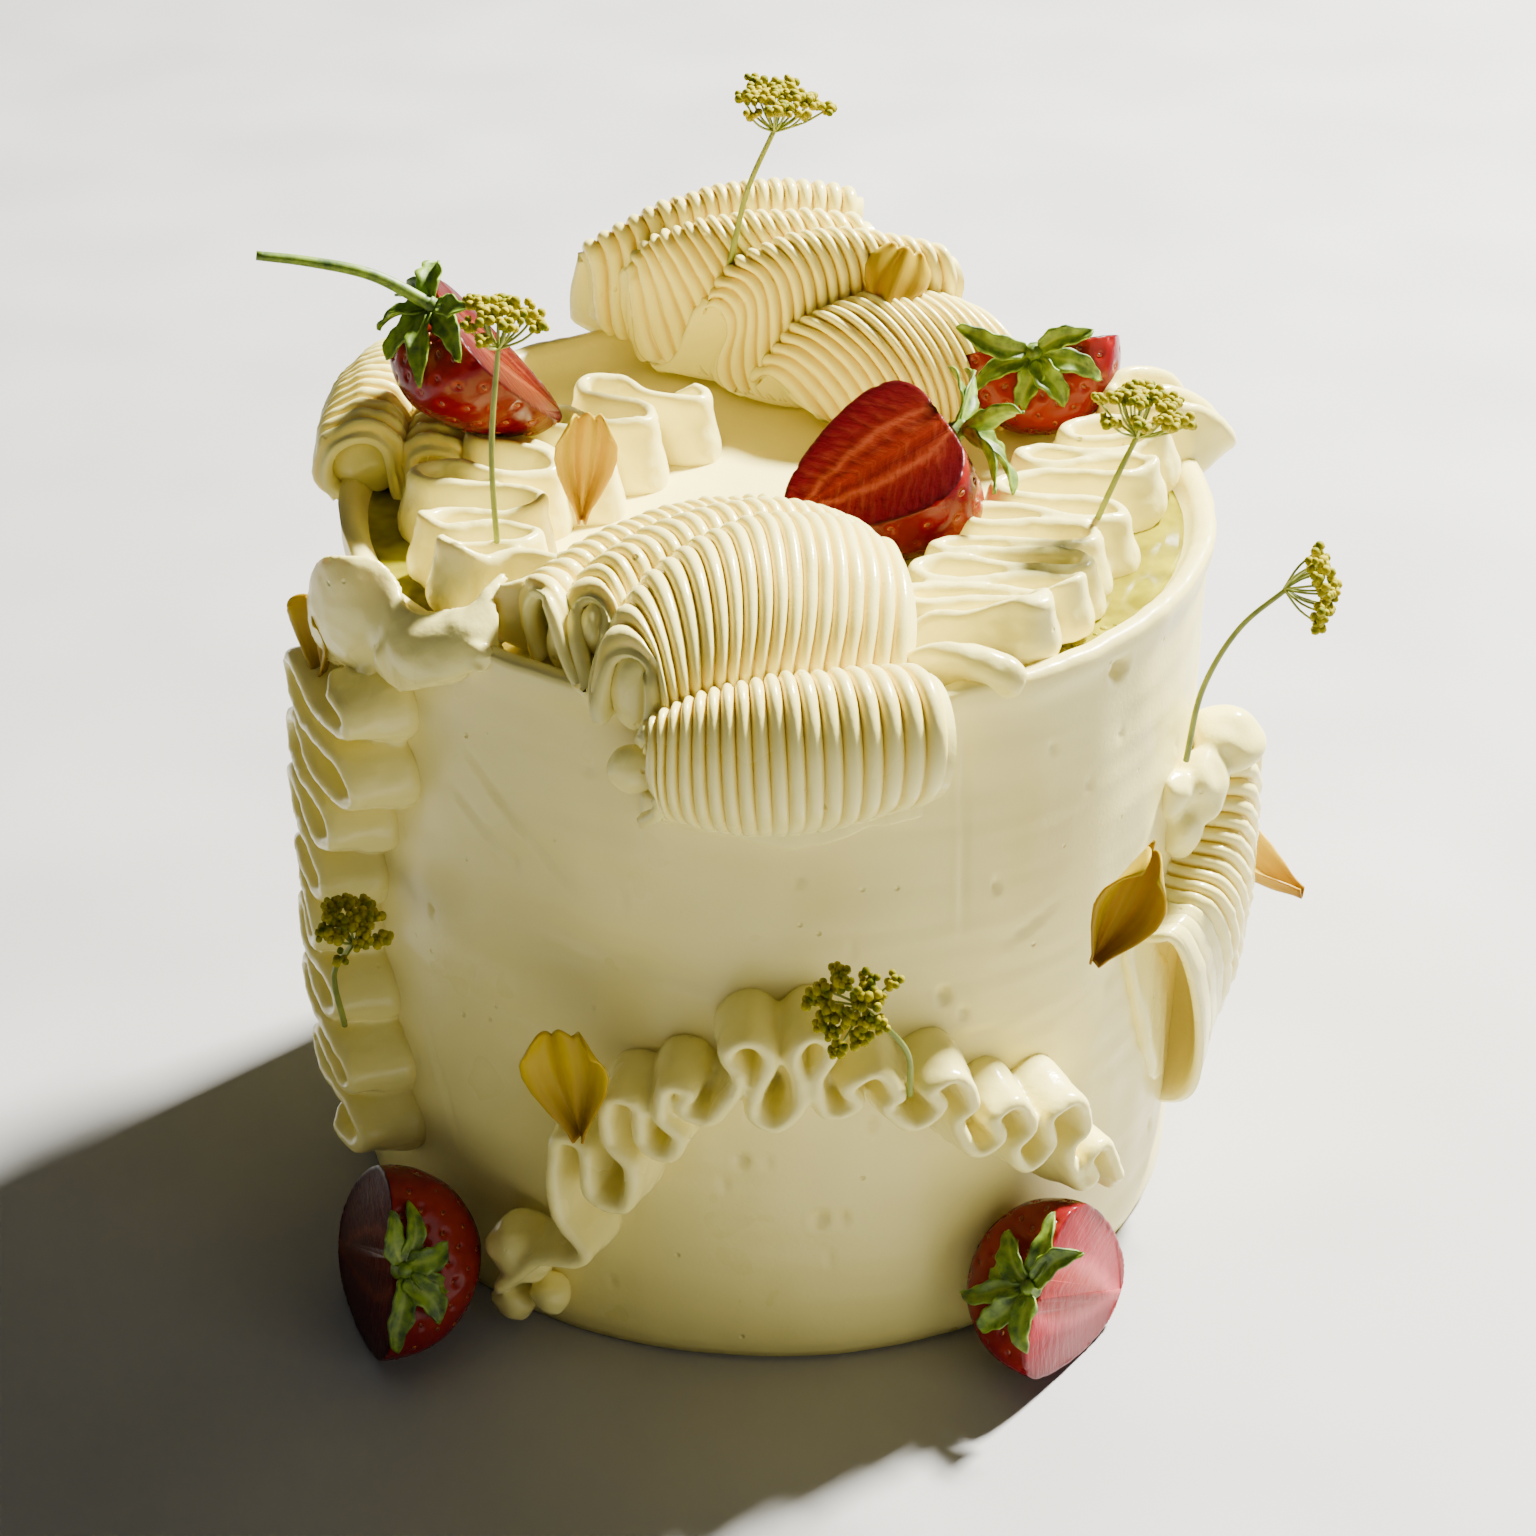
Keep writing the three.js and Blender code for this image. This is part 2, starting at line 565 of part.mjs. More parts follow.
// A petal with a lobed tip, cupped across and curled along its length
function petal({ foot, along, facing, curl = 0.25, cup = 0.18, fold = 0 }) {
  const z = vec(...along).normalize();
  const n = vec(...facing);
  n.addScaledVector(z, -n.dot(z)).normalize();
  const x = z.clone().cross(n);
  const halfWidths = [0.14, 0.62, 0.95, 1.0, 0.75];
  const notches = [-0.08, 0.02, -0.05, 0.02, -0.08];
  const rows = halfWidths.map((half, i) => {
    const share = i / (halfWidths.length - 1);
    return notches.map((notch, k) => {
      const edge = k / 2 - 1;
      const reach = i === halfWidths.length - 1 ? share + notch : share;
      const bow = PETAL_LENGTH * curl * share * share + PETAL_WIDTH * (cup * edge * edge + fold * Math.abs(edge) * share);
      return vec(...foot).addScaledVector(z, PETAL_LENGTH * reach)
        .addScaledVector(x, (edge * half * PETAL_WIDTH) / 2).addScaledVector(n, bow);
    });
  });
  return blade(rows, PETAL_THICKNESS);
}

const STRAWBERRIES = {
  front: {
    hub: [32, -10, 170], axis: [0.837, 0.237, 0.496], face: [-0.372, -0.338, 0.861], girth: 1.12, cut: 4.5,
    leaves: [[265, 15, 45], [65, 13, 55], [85, 17, 15], [110, 11, 0], [180, 12, 35]],
  },
  right: {
    hub: [52.4, 33, 166.6], axis: [-0.148, -0.895, 0.412], face: [-0.147, 0.396, 0.902],
    leaves: [[110, 14, 10], [70, 16, 30], [165, 12, -5], [245, 15, 5], [205, 10, 25]],
  },
  left: {
    hub: [-66.8, 4, 186.3], axis: [-0.588, -0.314, 0.744], face: [0.743, 0.147, 0.649],
    leaves: [[105, 16, 12], [225, 16, 0], [262, 15, -5], [150, 11, 20], [30, 9, 30]],
    stem: [[-67.5, 3.5, 187.5], [-79, 2, 194.5], [-91, 1, 197.5], [-101, 0, 199]],
  },
  lower_left: {
    hub: [-68.5, -84, 24.4], axis: [0.4, -0.788, 0.475], face: [-0.92, -0.352, 0.19], girth: 1.18,
    leaves: [[255, 13, 10], [160, 13, 0], [90, 16, 5], [215, 9, 40], [20, 9, 40]],
  },
  lower_right: {
    hub: [53.5, -91.5, 24.9], axis: [-0.51, -0.66, 0.55], face: [0.82, -0.57, 0.08], girth: 1.06,
    leaves: [[85, 15, 20], [60, 13, 20], [200, 14, 10], [230, 14, 10], [255, 14, 5], [285, 12, 20]],
  },
};

const FLOWERS = {
  top: { stem: [[-10.5, 55, 184], [-7, 53, 193], [-1.6, 50, 207.5]], aim: [0.1, 0, 1] },
  left: { stem: [[-52, -43, 160], [-52.8, -45, 180], [-51, -46, 201.5]], aim: [0.1, -0.1, 1], spread: 0.75, phase: 0.5 },
  right: { stem: [[62, -24, 159.5], [65, -26, 168], [68.4, -25, 176]], aim: [0.15, 0, 1], rays: 10, phase: 1 },
  far_right: { stem: [[81, -39, 117], [83, -39, 129], [89, -40, 143], [97, -41, 152]], aim: [0.95, -0.1, 0.2], spread: 0.8, phase: 2 },
  side: { stem: [[-86, -51, 59], [-86, -53, 69], [-81.5, -56, 78]], aim: [0, -0.35, 1], spread: 0.8, phase: 3 },
  arch: { stem: [[28, -98, 73], [25.5, -99, 85], [17.2, -100, 95]], aim: [-0.3, -0.75, 0.45], spread: 0.9, phase: 4 },
};

const PETALS = {
  left_top: { foot: [-38, -17, 152], along: [0.0, -0.1, 1], facing: [0.1, -1, 0], curl: 0.1 },
  mound: { foot: [19, 44, 185], along: [0.9, 0.1, 0.4], facing: [0, -0.6, 0.8], curl: -0.35, cup: -0.2 },
  right_upper: { foot: [63, -80, 95], along: [0.3, 0.2, 0.95], facing: [0.4, -0.8, 0.2], fold: 0.3 },
  right_lower: { foot: [111, -12, 64], along: [-0.76, 0.65, -0.05], facing: [0, 0, 1], curl: 0.1, fold: 0.3 },
  arch: { foot: [-36, -97, 64], along: [-0.1, 0.05, 1], facing: [-0.2, -1, 0] },
  left_side: { foot: [-89, -33, 128], along: [-0.02, 0.05, 1], facing: [-0.8, -0.6, 0.1], curl: 0.1 },
};

const OIL_POOLS = {
  right: { from: 14, to: 112, inner: 70 },
  left: { from: -104, to: -58, inner: 72 },
};

// Every neighbour that cream gives way to, grown by the gap that touching pieces keep
const joinAll = (solids) => solids.reduce((sum, solid) => sum.add(solid));
const grownCake = toSolid(turned(cakeProfile(GAP), CAKE_SIDES));
const grownBerries = joinAll(Object.values(STRAWBERRIES).map((berry) => halfBerry(berry, GAP)));
const grownOil = joinAll(Object.values(OIL_POOLS).map((pool) => toSolid(oilPool(pool, GAP))));
const RIBBONS = { front: FRONT_RIBBON, back: BACK_RIBBON, left: LEFT_RIBBON, right: RIGHT_RIBBON };
const grownRibbons = joinAll(Object.values(RIBBONS).map((ribbon) => ribbedRibbon(ribbon, 2 * GAP)));
const RUFFLES = { left_top: LEFT_TOP_RUFFLE, right_top: RIGHT_TOP_RUFFLE, arch: ARCH_RUFFLE, side: SIDE_RUFFLE };

const cake = new THREE.Group();

function add(name, solid, material) {
  const mesh = new THREE.Mesh(toGeometry(solid), material);
  mesh.name = name;
  cake.add(mesh);
}

add('cake', toSolid(turned(cakeProfile(0), CAKE_SIDES)), CREAM);
for (const [name, pool] of Object.entries(OIL_POOLS)) {
  add(`oil_${name}`, toSolid(oilPool(pool, 0)).subtract(grownRibbons), OIL);
}
for (const [name, ribbon] of Object.entries(RIBBONS)) {
  add(`ribbed_${name}`, ribbedRibbon(ribbon).subtract(grownCake).subtract(grownBerries), CREAM);
}
// What is already taken by pieces that the later ones keep clear of
let taken = joinAll([grownCake, grownOil, grownRibbons, grownBerries]);
for (const [name, path] of Object.entries(RUFFLES)) {
  add(`ruffle_${name}`, ruffle(path).subtract(taken), CREAM);
  taken = taken.add(ruffle(path, GAP));
}
for (const [name, berry] of Object.entries(STRAWBERRIES)) {
  add(`strawberry_${name}`, halfBerry(berry).subtract(grownCake), BERRY);
  add(`calyx_${name}`, calyx(berry).subtract(grownBerries), LEAF);
}
for (const [name, flower] of Object.entries(FLOWERS)) {
  add(`flower_${name}`, flowerHead(flower), FLOWER);
}
for (const [name, shape] of Object.entries(PETALS)) {
  add(`petal_${name}`, toSolid(petal(shape)), PETAL);
}

export default cake;
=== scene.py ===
# %% [markdown]
# # Olive oil cake
# A tall round cake under ivory cream, dressed with piped ruffles, ribbons pressed through a comb,
# halved strawberries, small yellow flower heads, petals and oil. The solids of the part are loaded
# first, because every piece here sits where they are.

# %% Load the part
import bpy
import math
import random
import numpy as np
from mathutils import Matrix, Vector, noise


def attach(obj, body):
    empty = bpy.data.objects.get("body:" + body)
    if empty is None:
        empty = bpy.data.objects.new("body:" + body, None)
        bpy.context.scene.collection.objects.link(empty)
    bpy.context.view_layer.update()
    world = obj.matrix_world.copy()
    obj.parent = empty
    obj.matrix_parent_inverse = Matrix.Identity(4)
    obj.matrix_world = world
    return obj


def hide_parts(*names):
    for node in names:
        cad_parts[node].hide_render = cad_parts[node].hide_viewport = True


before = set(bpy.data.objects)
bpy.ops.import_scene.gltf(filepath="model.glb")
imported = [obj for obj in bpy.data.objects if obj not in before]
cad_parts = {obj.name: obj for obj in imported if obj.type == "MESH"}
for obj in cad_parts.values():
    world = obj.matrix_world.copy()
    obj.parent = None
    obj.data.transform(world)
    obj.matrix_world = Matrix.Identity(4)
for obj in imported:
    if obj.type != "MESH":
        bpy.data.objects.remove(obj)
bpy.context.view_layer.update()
bpy.ops.object.select_all(action="DESELECT")
print("nodes:", len(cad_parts))

# %% [markdown]
# The camera stands a little above the cake and looks down on it, as a person at a table does. Its
# place was worked out from the rim and the foot of the cake, and it has the small roll of a picture
# taken by hand. Sizes below are in millimetres, and one factor turns them into Blender's metres.

# %% Camera
MM = 0.001
CAMERA_PLACE = Vector((-0.787, -653.717, 474.239)) * MM
CAMERA_TARGET = Vector((-0.787, 0.0, 86.193)) * MM
CAMERA_ROLL = math.radians(0.9676)
CAMERA_LENS = 85.524
SENSOR_WIDTH = 36.0
FAR_CLIP = 20.0

bpy.ops.object.camera_add(location=CAMERA_PLACE)
camera = bpy.context.object
camera.name = "camera"
camera.data.lens = CAMERA_LENS
camera.data.sensor_width = SENSOR_WIDTH
camera.data.clip_end = FAR_CLIP
looking = (CAMERA_TARGET - CAMERA_PLACE).to_track_quat("-Z", "Y")
camera.rotation_mode = "QUATERNION"
camera.rotation_quaternion = looking @ Matrix.Rotation(CAMERA_ROLL, 4, "Z").to_quaternion()
bpy.context.scene.camera = camera
print("camera lens", camera.data.lens)

# %% [markdown]
# A pale floor and three lamps. The key lamp stands high behind the cake on the right, like a low
# sun through a window: it is small, strong and nearly white, so that it rakes over the ridges of
# the cream and throws a clear shadow. A large weak lamp in front on the right fills the shade, so
# that the wall darkens evenly towards the left, and a dim wide one above lifts the deepest folds.

# %% Floor and lights
FLOOR_SIZE = 8.0
FLOOR_LEVEL = -0.0006
LAMP_TARGET = Vector((0, 0, 0.1))
LAMPS = {
    "key": {"place": (0.80, 0.74, 1.30), "size": 0.20, "power": 240, "colour": (1.0, 0.985, 0.91)},
    "fill": {"place": (1.15, -1.10, 0.50), "size": 1.0, "power": 4.0, "colour": (1.0, 0.97, 0.92)},
    "sky": {"place": (-0.3, -0.2, 1.6), "size": 1.2, "power": 1.2, "colour": (1.0, 0.99, 0.97)},
}
ROOM_COLOUR = (0.86, 0.87, 0.88, 1)
ROOM_STRENGTH = 0.05

bpy.ops.mesh.primitive_plane_add(size=FLOOR_SIZE, location=(0, 0, FLOOR_LEVEL))
floor = bpy.context.object
floor.name = "floor"
bpy.ops.object.transform_apply(location=True, rotation=True, scale=True)


def area_lamp(name, place, size, power, colour):
    """A square lamp that faces the middle of the cake."""
    bpy.ops.object.light_add(type="AREA", location=place)
    lamp = bpy.context.object
    lamp.name = name
    lamp.data.size = size
    lamp.data.energy = power
    lamp.data.color = colour
    lamp.rotation_mode = "QUATERNION"
    lamp.rotation_quaternion = (LAMP_TARGET - Vector(place)).to_track_quat("-Z", "Y")


for name, lamp in LAMPS.items():
    area_lamp(name, **lamp)

room = bpy.context.scene.world or bpy.data.worlds.new("room")
bpy.context.scene.world = room
room.use_nodes = True
backdrop = room.node_tree.nodes["Background"]
backdrop.inputs["Color"].default_value = ROOM_COLOUR
backdrop.inputs["Strength"].default_value = ROOM_STRENGTH
print("lamps:", len(LAMPS))

# %% [markdown]
# ## Helpers for finishes
# Colours are written as sRGB hex values, as they are read off a screen, and one function turns them
# into the linear values that Blender computes with. A second one fills the sockets of a node, and
# of the shader at the end of each finish. A third adds a node with its settings, values and links.

# %% Colour and node helpers
def linear(hex_colour):
    """sRGB hex to the linear RGBA that shaders use."""
    parts = [int(hex_colour[i:i + 2], 16) / 255 for i in (1, 3, 5)]
    curve = [c / 12.92 if c <= 0.04045 else ((c + 0.055) / 1.055) ** 2.4 for c in parts]
    return (*curve, 1.0)


def fill_sockets(node, values=None, links=None):
    """Puts fixed values and links into the sockets of a node."""
    for socket, value in (values or {}).items():
        node.inputs[socket].default_value = value
    for socket, source in (links or {}).items():
        node.id_data.links.new(source, node.inputs[socket])


def add_node(tree, kind, values=None, links=None, **settings):
    """A shader node with its settings, its fixed values and its links."""
    made = tree.nodes.new("ShaderNode" + kind)
    for key, value in settings.items():
        setattr(made, key, value)
    fill_sockets(made, values, links)
    return made


def new_finish(name):
    """An empty material: itself, its tree, its shader and the part's own coordinates."""
    finish = bpy.data.materials.new(name)
    finish.use_nodes = True
    tree = finish.node_tree
    coordinates = add_node(tree, "TexCoord")
    return finish, tree, tree.nodes["Principled BSDF"], coordinates.outputs["Object"]


def set_ramp(ramp, stops):
    """Puts (place, hex colour) stops on a colour ramp."""
    elements = ramp.color_ramp.elements
    while len(elements) < len(stops):
        elements.new(0.5)
    for element, (at, colour) in zip(elements, stops):
        element.position = at
        element.color = linear(colour)


def per_mm(size):
    """Scale of a texture whose features lie this many millimetres apart."""
    return 1.0 / (size * MM)


print("mid grey is", round(linear("#808080")[0], 3))

# %% [markdown]
# ## Floor finish
# A matt off-white table top: light spreads evenly on it, without a gloss. It is mottled very
# faintly, in patches some 70 mm wide, so that it doesn't look like empty paper.

# %% Floor finish
MOTTLE_SIZE = 70

floor_finish, tree, shader, place = new_finish("matt_white_table_top")
mottle = add_node(tree, "TexNoise", {"Scale": per_mm(MOTTLE_SIZE), "Detail": 1.0}, {"Vector": place})
floor_tint = add_node(tree, "ValToRGB", links={"Fac": mottle.outputs["Fac"]})
set_ramp(floor_tint, [(0.3, "#a2a1a0"), (0.7, "#aeadac")])
fill_sockets(shader, {"Roughness": 0.6}, {"Base Color": floor_tint.outputs["Color"]})
floor.data.materials.append(floor_finish)
print(floor_finish.name)

# %% [markdown]
# ## Cream finish
# Mascarpone cream, smoothed with a scraper or piped. The fat in it gives the eye a satin sheen. Its
# own colour is a pale yellow. In the folds and in the valleys between the ribs its colour is painted
# a deep warm yellow. That is painted shade, which stands in for light that bounces between two walls
# of cream and is tinted again at each bounce. A vertex attribute called "fold" holds how enclosed
# each point is. A second one holds how deep each point lies in the valley between two ribs of a
# ribbon, and the painted shade runs along both. Light also enters the cream and comes out a
# millimetre or so away, which is what subsurface scattering gives. The bump holds a fine churned
# grain, drawn coarser than it is so that it shows, and the tiny pits of burst air bubbles.

# %% Cream finish
GRAIN_SIZE = 0.9
GRAIN_HEIGHT = 0.10
CLOUD_SIZE = 16
CLOUD_SHARE = 0.16
PIT_SPACING = 9.0
PIT_RADIUS = 0.075
VALLEY_SHADE_SHARE = 0.30


def make_cream(name, stops, roughness, pit_depth):
    """Cream in its tones, with painted shade in folds and rib valleys, grain, pits and a soft gloss."""
    finish, tree, shader, place = new_finish(name)
    fold = add_node(tree, "Attribute", attribute_name="fold")
    valley_shade = add_node(tree, "Attribute", attribute_name="valley_shade")
    # painted shade: the rib valleys are added to the folds, and both draw the colour to the deep yellow
    # end of the ramp
    depth = add_node(tree, "Math", {1: VALLEY_SHADE_SHARE}, {0: valley_shade.outputs["Fac"], 2: fold.outputs["Fac"]},
                     operation="MULTIPLY_ADD")
    cloud = add_node(tree, "TexNoise", {"Scale": per_mm(CLOUD_SIZE), "Detail": 2.0}, {"Vector": place})
    tone = add_node(tree, "Math", {1: CLOUD_SHARE}, {0: cloud.outputs["Fac"], 2: depth.outputs[0]},
                    operation="MULTIPLY_ADD")
    colour = add_node(tree, "ValToRGB", links={"Fac": tone.outputs[0]})
    set_ramp(colour, stops)
    grain = add_node(tree, "TexNoise", {"Scale": per_mm(GRAIN_SIZE), "Detail": 2.0}, {"Vector": place})
    bubbles = add_node(tree, "TexVoronoi", {"Scale": per_mm(PIT_SPACING)}, {"Vector": place})
    pits = add_node(tree, "MapRange", {1: 0.0, 2: PIT_RADIUS, 3: -1.0, 4: 0.0},
                    {0: bubbles.outputs["Distance"]})
    relief = add_node(tree, "Math", {1: GRAIN_HEIGHT}, {0: grain.outputs["Fac"], 2: pits.outputs[0]},
                      operation="MULTIPLY_ADD")
    bump = add_node(tree, "Bump", {"Strength": 0.8, "Distance": pit_depth * MM},
                    {"Height": relief.outputs[0]})
    gloss = add_node(tree, "MapRange", {1: 0.3, 2: 0.7, 3: roughness - 0.06, 4: roughness + 0.08},
                     {0: cloud.outputs["Fac"]})
    fill_sockets(shader, {"IOR": 1.45, "Subsurface Weight": 0.18,
                          "Subsurface Radius": (1.0, 0.75, 0.35), "Subsurface Scale": 1.4 * MM},
                 {"Base Color": colour.outputs["Color"], "Normal": bump.outputs["Normal"],
                  "Roughness": gloss.outputs[0]})
    return finish


# The pale stops are the cream's own tones, varied by a random cloud. The deep yellow stops are painted
# shade for the folds and rib valleys.
PIPED_TONES_AND_FOLD_SHADE = [(0.10, "#f9ec90"), (0.36, "#f4da5c"), (0.70, "#e6b41c"), (1.0, "#d09000")]
SMOOTH_TONES_AND_FOLD_SHADE = [(0.12, "#f5e78e"), (0.45, "#efd768"), (1.0, "#dc9c14")]
piped_cream = make_cream("piped_mascarpone_cream", PIPED_TONES_AND_FOLD_SHADE, 0.23, 0.7)
smooth_cream = make_cream("scraped_mascarpone_cream", SMOOTH_TONES_AND_FOLD_SHADE, 0.33, 0.6)
print(piped_cream.name, smooth_cream.name)

# %% [markdown]
# ## Helpers for shapes
# A piped thread or a pressed ribbon is one section swept along a path. By hand that is a grid
# whose points are pulled into place, rolled up until its long edges meet, and closed at both ends.
# The helpers here read and move the points of a piece, lay such a grid, apply modifiers, join
# pieces, and tie a finished piece to the part.

# %% Shape helpers
SEAM = 1e-6


def smooth_share(values, low, high):
    """0 below low, 1 above high, and an even curve between them."""
    share = np.clip((np.asarray(values, float) - low) / (high - low), 0, 1)
    return share * share * (3 - 2 * share)


def unit(vectors):
    """Vectors cut or stretched to length 1."""
    lengths = np.linalg.norm(vectors, axis=-1, keepdims=True)
    return vectors / np.maximum(lengths, 1e-9)


def keep_values(piece, name, values):
    """Stores one number for each point under a name that a finish can read."""
    attribute = piece.data.attributes.get(name) or piece.data.attributes.new(name, "FLOAT", "POINT")
    attribute.data.foreach_set("value", np.asarray(values, np.float32).reshape(-1))


def points_of(piece):
    """The piece's points in millimetres."""
    places = np.empty(len(piece.data.vertices) * 3, np.float32)
    piece.data.vertices.foreach_get("co", places)
    return places.reshape(-1, 3).astype(float) / MM


def move_points(piece, places):
    """Puts the piece's points at these places, in millimetres."""
    piece.data.vertices.foreach_set("co", (places.reshape(-1) * MM).astype(np.float32))
    piece.data.update()


def normals_of(piece):
    """The direction in which the skin faces at each point."""
    facing = np.empty(len(piece.data.vertices) * 3, np.float32)
    piece.data.vertices.foreach_get("normal", facing)
    return facing.reshape(-1, 3).astype(float)


def keep_places(piece, name, places):
    """Stores three numbers for each point under a name that a finish can read."""
    attribute = piece.data.attributes.new(name, "FLOAT_VECTOR", "POINT")
    attribute.data.foreach_set("vector", places.reshape(-1).astype(np.float32))


def placed_grid(name, places, valley_shade=None):
    """A grid whose rows and columns are pulled to these places, in millimetres."""
    rows, columns = places.shape[:2]
    bpy.ops.mesh.primitive_grid_add(x_subdivisions=columns - 1, y_subdivisions=rows - 1, size=1)
    piece = bpy.context.object
    piece.name = name
    move_points(piece, places)
    # painted shade: how deep each point lies in a rib valley, kept for the cream finish to paint darker
    if valley_shade is not None:
        keep_values(piece, "valley_shade", valley_shade)
    return piece


def mend_skin(piece, fill=True):
    """Merges the points of a seam, closes open ends and turns the faces outwards."""
    bpy.ops.object.mode_set(mode="EDIT")
    bpy.ops.mesh.select_all(action="SELECT")
    bpy.ops.mesh.remove_doubles(threshold=SEAM)
    if fill:
        bpy.ops.mesh.fill_holes(sides=0)
    bpy.ops.mesh.normals_make_consistent(inside=False)
    bpy.ops.mesh.select_all(action="DESELECT")
    bpy.ops.object.mode_set(mode="OBJECT")
    return piece


def rolled_grid(name, rings, valley_shade=None):
    """A closed solid from rings of places: each ring's last point meets its first."""
    closed = np.concatenate([rings, rings[:, :1]], axis=1)
    if valley_shade is not None:
        valley_shade = np.concatenate([valley_shade, valley_shade[:, :1]], axis=1)
    return mend_skin(placed_grid(name, closed, valley_shade))


def apply_modifier(piece, kind, **settings):
    """Adds a modifier and applies it at once."""
    bpy.context.view_layer.objects.active = piece
    modifier = piece.modifiers.new(kind.lower(), kind)
    for key, value in settings.items():
        setattr(modifier, key, value)
    bpy.ops.object.modifier_apply(modifier=modifier.name)


def join_pieces(name, pieces):
    """Several objects as one."""
    bpy.ops.object.select_all(action="DESELECT")
    for piece in pieces:
        piece.select_set(True)
    bpy.context.view_layer.objects.active = pieces[0]
    if len(pieces) > 1:
        bpy.ops.object.join()
    joined = bpy.context.object
    joined.name = name
    bpy.ops.object.select_all(action="DESELECT")
    return joined


def hand_over(piece, node):
    """Smooth shading, the body it rides on and the node that it stands for."""
    piece.data.polygons.foreach_set("use_smooth", [True] * len(piece.data.polygons))
    piece.data.update()
    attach(piece, "root")
    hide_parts(node)
    print(piece.name, len(piece.data.vertices), "points")


def churn(places, size, seed):
    """Smooth random numbers around 0 that change over this many millimetres."""
    shift = Vector((seed * 17.3, seed * 5.1, seed * 9.7))
    return np.array([noise.noise(Vector(p) / size + shift) for p in places])


print("helpers ready")

# %% [markdown]
# ## The cake
# The covered cake is a cylinder with a slight taper. The scraper was pulled up past the top, which
# leaves a low standing rim, and the top inside it was smoothed flat with a shallow gutter. By hand:
# a cylinder, whose top is inset many times and pushed down or up after each inset, which rounds the
# rim and leaves the gutter and the flat. Then the wall is cut into fine bands, so that it can carry
# marks. A lathe profile would do as well, but insets keep the order in which a cook works.

# %% Cake body
BASE_RADIUS = 87.0
TOP_RADIUS = 86.1
TOP_LEVEL = 146.0
RIM_LEVEL = 150.2
RIM_INSETS = [(1.4, 0.35), (1.6, 0.0), (1.4, -1.6), (1.6, -2.6), (4.0, -1.35), (3.4, 0.1), (12.0, 0.7)]
FLAT_INSETS = [(14.0, 0.0), (16.0, 0.0), (14.0, 0.0), (10.0, 0.0), (8.0, 0.0)]
CAKE_SIDES = 640
WALL_BANDS = 104

bpy.ops.mesh.primitive_cylinder_add(vertices=CAKE_SIDES, radius=BASE_RADIUS * MM,
                                    depth=RIM_LEVEL * MM, location=(0, 0, RIM_LEVEL * MM / 2),
                                    end_fill_type="NGON")
cake = bpy.context.object
cake.name = "covered_cake"
bpy.ops.object.transform_apply(location=True, rotation=True, scale=True)
bpy.ops.object.mode_set(mode="EDIT")
bpy.ops.mesh.select_mode(type="FACE")
bpy.ops.mesh.select_all(action="DESELECT")
bpy.ops.object.mode_set(mode="OBJECT")
for face in cake.data.polygons:
    face.select = face.normal.z > 0.9
bpy.ops.object.mode_set(mode="EDIT")
for width, rise in RIM_INSETS + FLAT_INSETS:
    bpy.ops.mesh.inset(thickness=width * MM, depth=0)
    bpy.ops.transform.translate(value=(0, 0, rise * MM))
bpy.ops.mesh.poke()
bpy.ops.mesh.select_mode(type="EDGE")
bpy.ops.mesh.select_all(action="DESELECT")
bpy.ops.object.mode_set(mode="OBJECT")
for edge in cake.data.edges:
    low, high = (cake.data.vertices[i].co for i in edge.vertices)
    edge.select = abs(low.z - high.z) > 0.9 * RIM_LEVEL * MM
bpy.ops.object.mode_set(mode="EDIT")
bpy.ops.mesh.subdivide(number_cuts=WALL_BANDS)
bpy.ops.object.mode_set(mode="OBJECT")
print("cake points", len(cake.data.vertices))

# %% [markdown]
# The scraper leaves its marks on the wall: long shallow waves, fine level lines, a few dragged
# scratches, and pits where air bubbles burst. Each pit is a place, a half width, a half height and a
# depth, and each scratch runs from one place to another. A place is an azimuth in degrees, 0 at the
# front, and a height. Forty more small pits are scattered by chance. The same function rounds the
# lip outwards, draws the foot in and lets the flat of the top sway a little.

# %% Marks on the wall
PITS = [
    (48.6, 143.0, 2.6, 1.8, 2.4), (22.7, 83.8, 1.5, 1.4, 1.5), (-3.1, 49.0, 1.5, 1.3, 1.5),
    (7.2, 34.6, 1.8, 1.5, 1.6), (10.2, 34.6, 1.3, 1.3, 1.2), (29.5, 106.0, 1.2, 1.2, 1.1),
    (13.5, 57.0, 1.2, 1.2, 1.2), (25.5, 79.0, 1.2, 1.2, 1.1),
]
SCRATCHES = [
    (24.0, 144.2, 25.0, 98.3, 0.8), (-42, 128, -24, 104, 0.7), (-45, 118, -33, 106, 0.6),
    (-30, 96, -6, 88, 0.6), (-24, 74, 6, 70, 0.5), (20, 71, 34, 74, 0.5), (-52, 60, -44, 30, 0.6),
    (31, 92, 39, 97, 0.6),
]
SMALL_PITS = 40
PIT_SEED = 17
PIT_LIP = 0.12
SCRATCH_WIDTH = 0.8
SCRATCH_END = 1.5
RIDGE_OFFSET = 1.6


def arc_at(azimuth):
    """Arc length of an azimuth in degrees, 0 at the front."""
    return math.radians(azimuth) * BASE_RADIUS


def pit_marks(arc, height):
    """How far burst bubbles push the wall in at these places, each with a slight lip round it."""
    chance = random.Random(PIT_SEED)
    small = [(chance.uniform(-80, 80), chance.uniform(8, 138), 1.0, 1.0, chance.uniform(0.4, 0.9))
             for _ in range(SMALL_PITS)]
    depth = np.zeros(len(arc))
    for at, level, wide, tall, deep in PITS + small:
        far = ((arc - arc_at(at)) / wide) ** 2 + ((height - level) / tall) ** 2
        depth += deep * np.exp(-far ** 2) - PIT_LIP * deep * np.exp(-(far - 2.2) ** 2)
    return depth


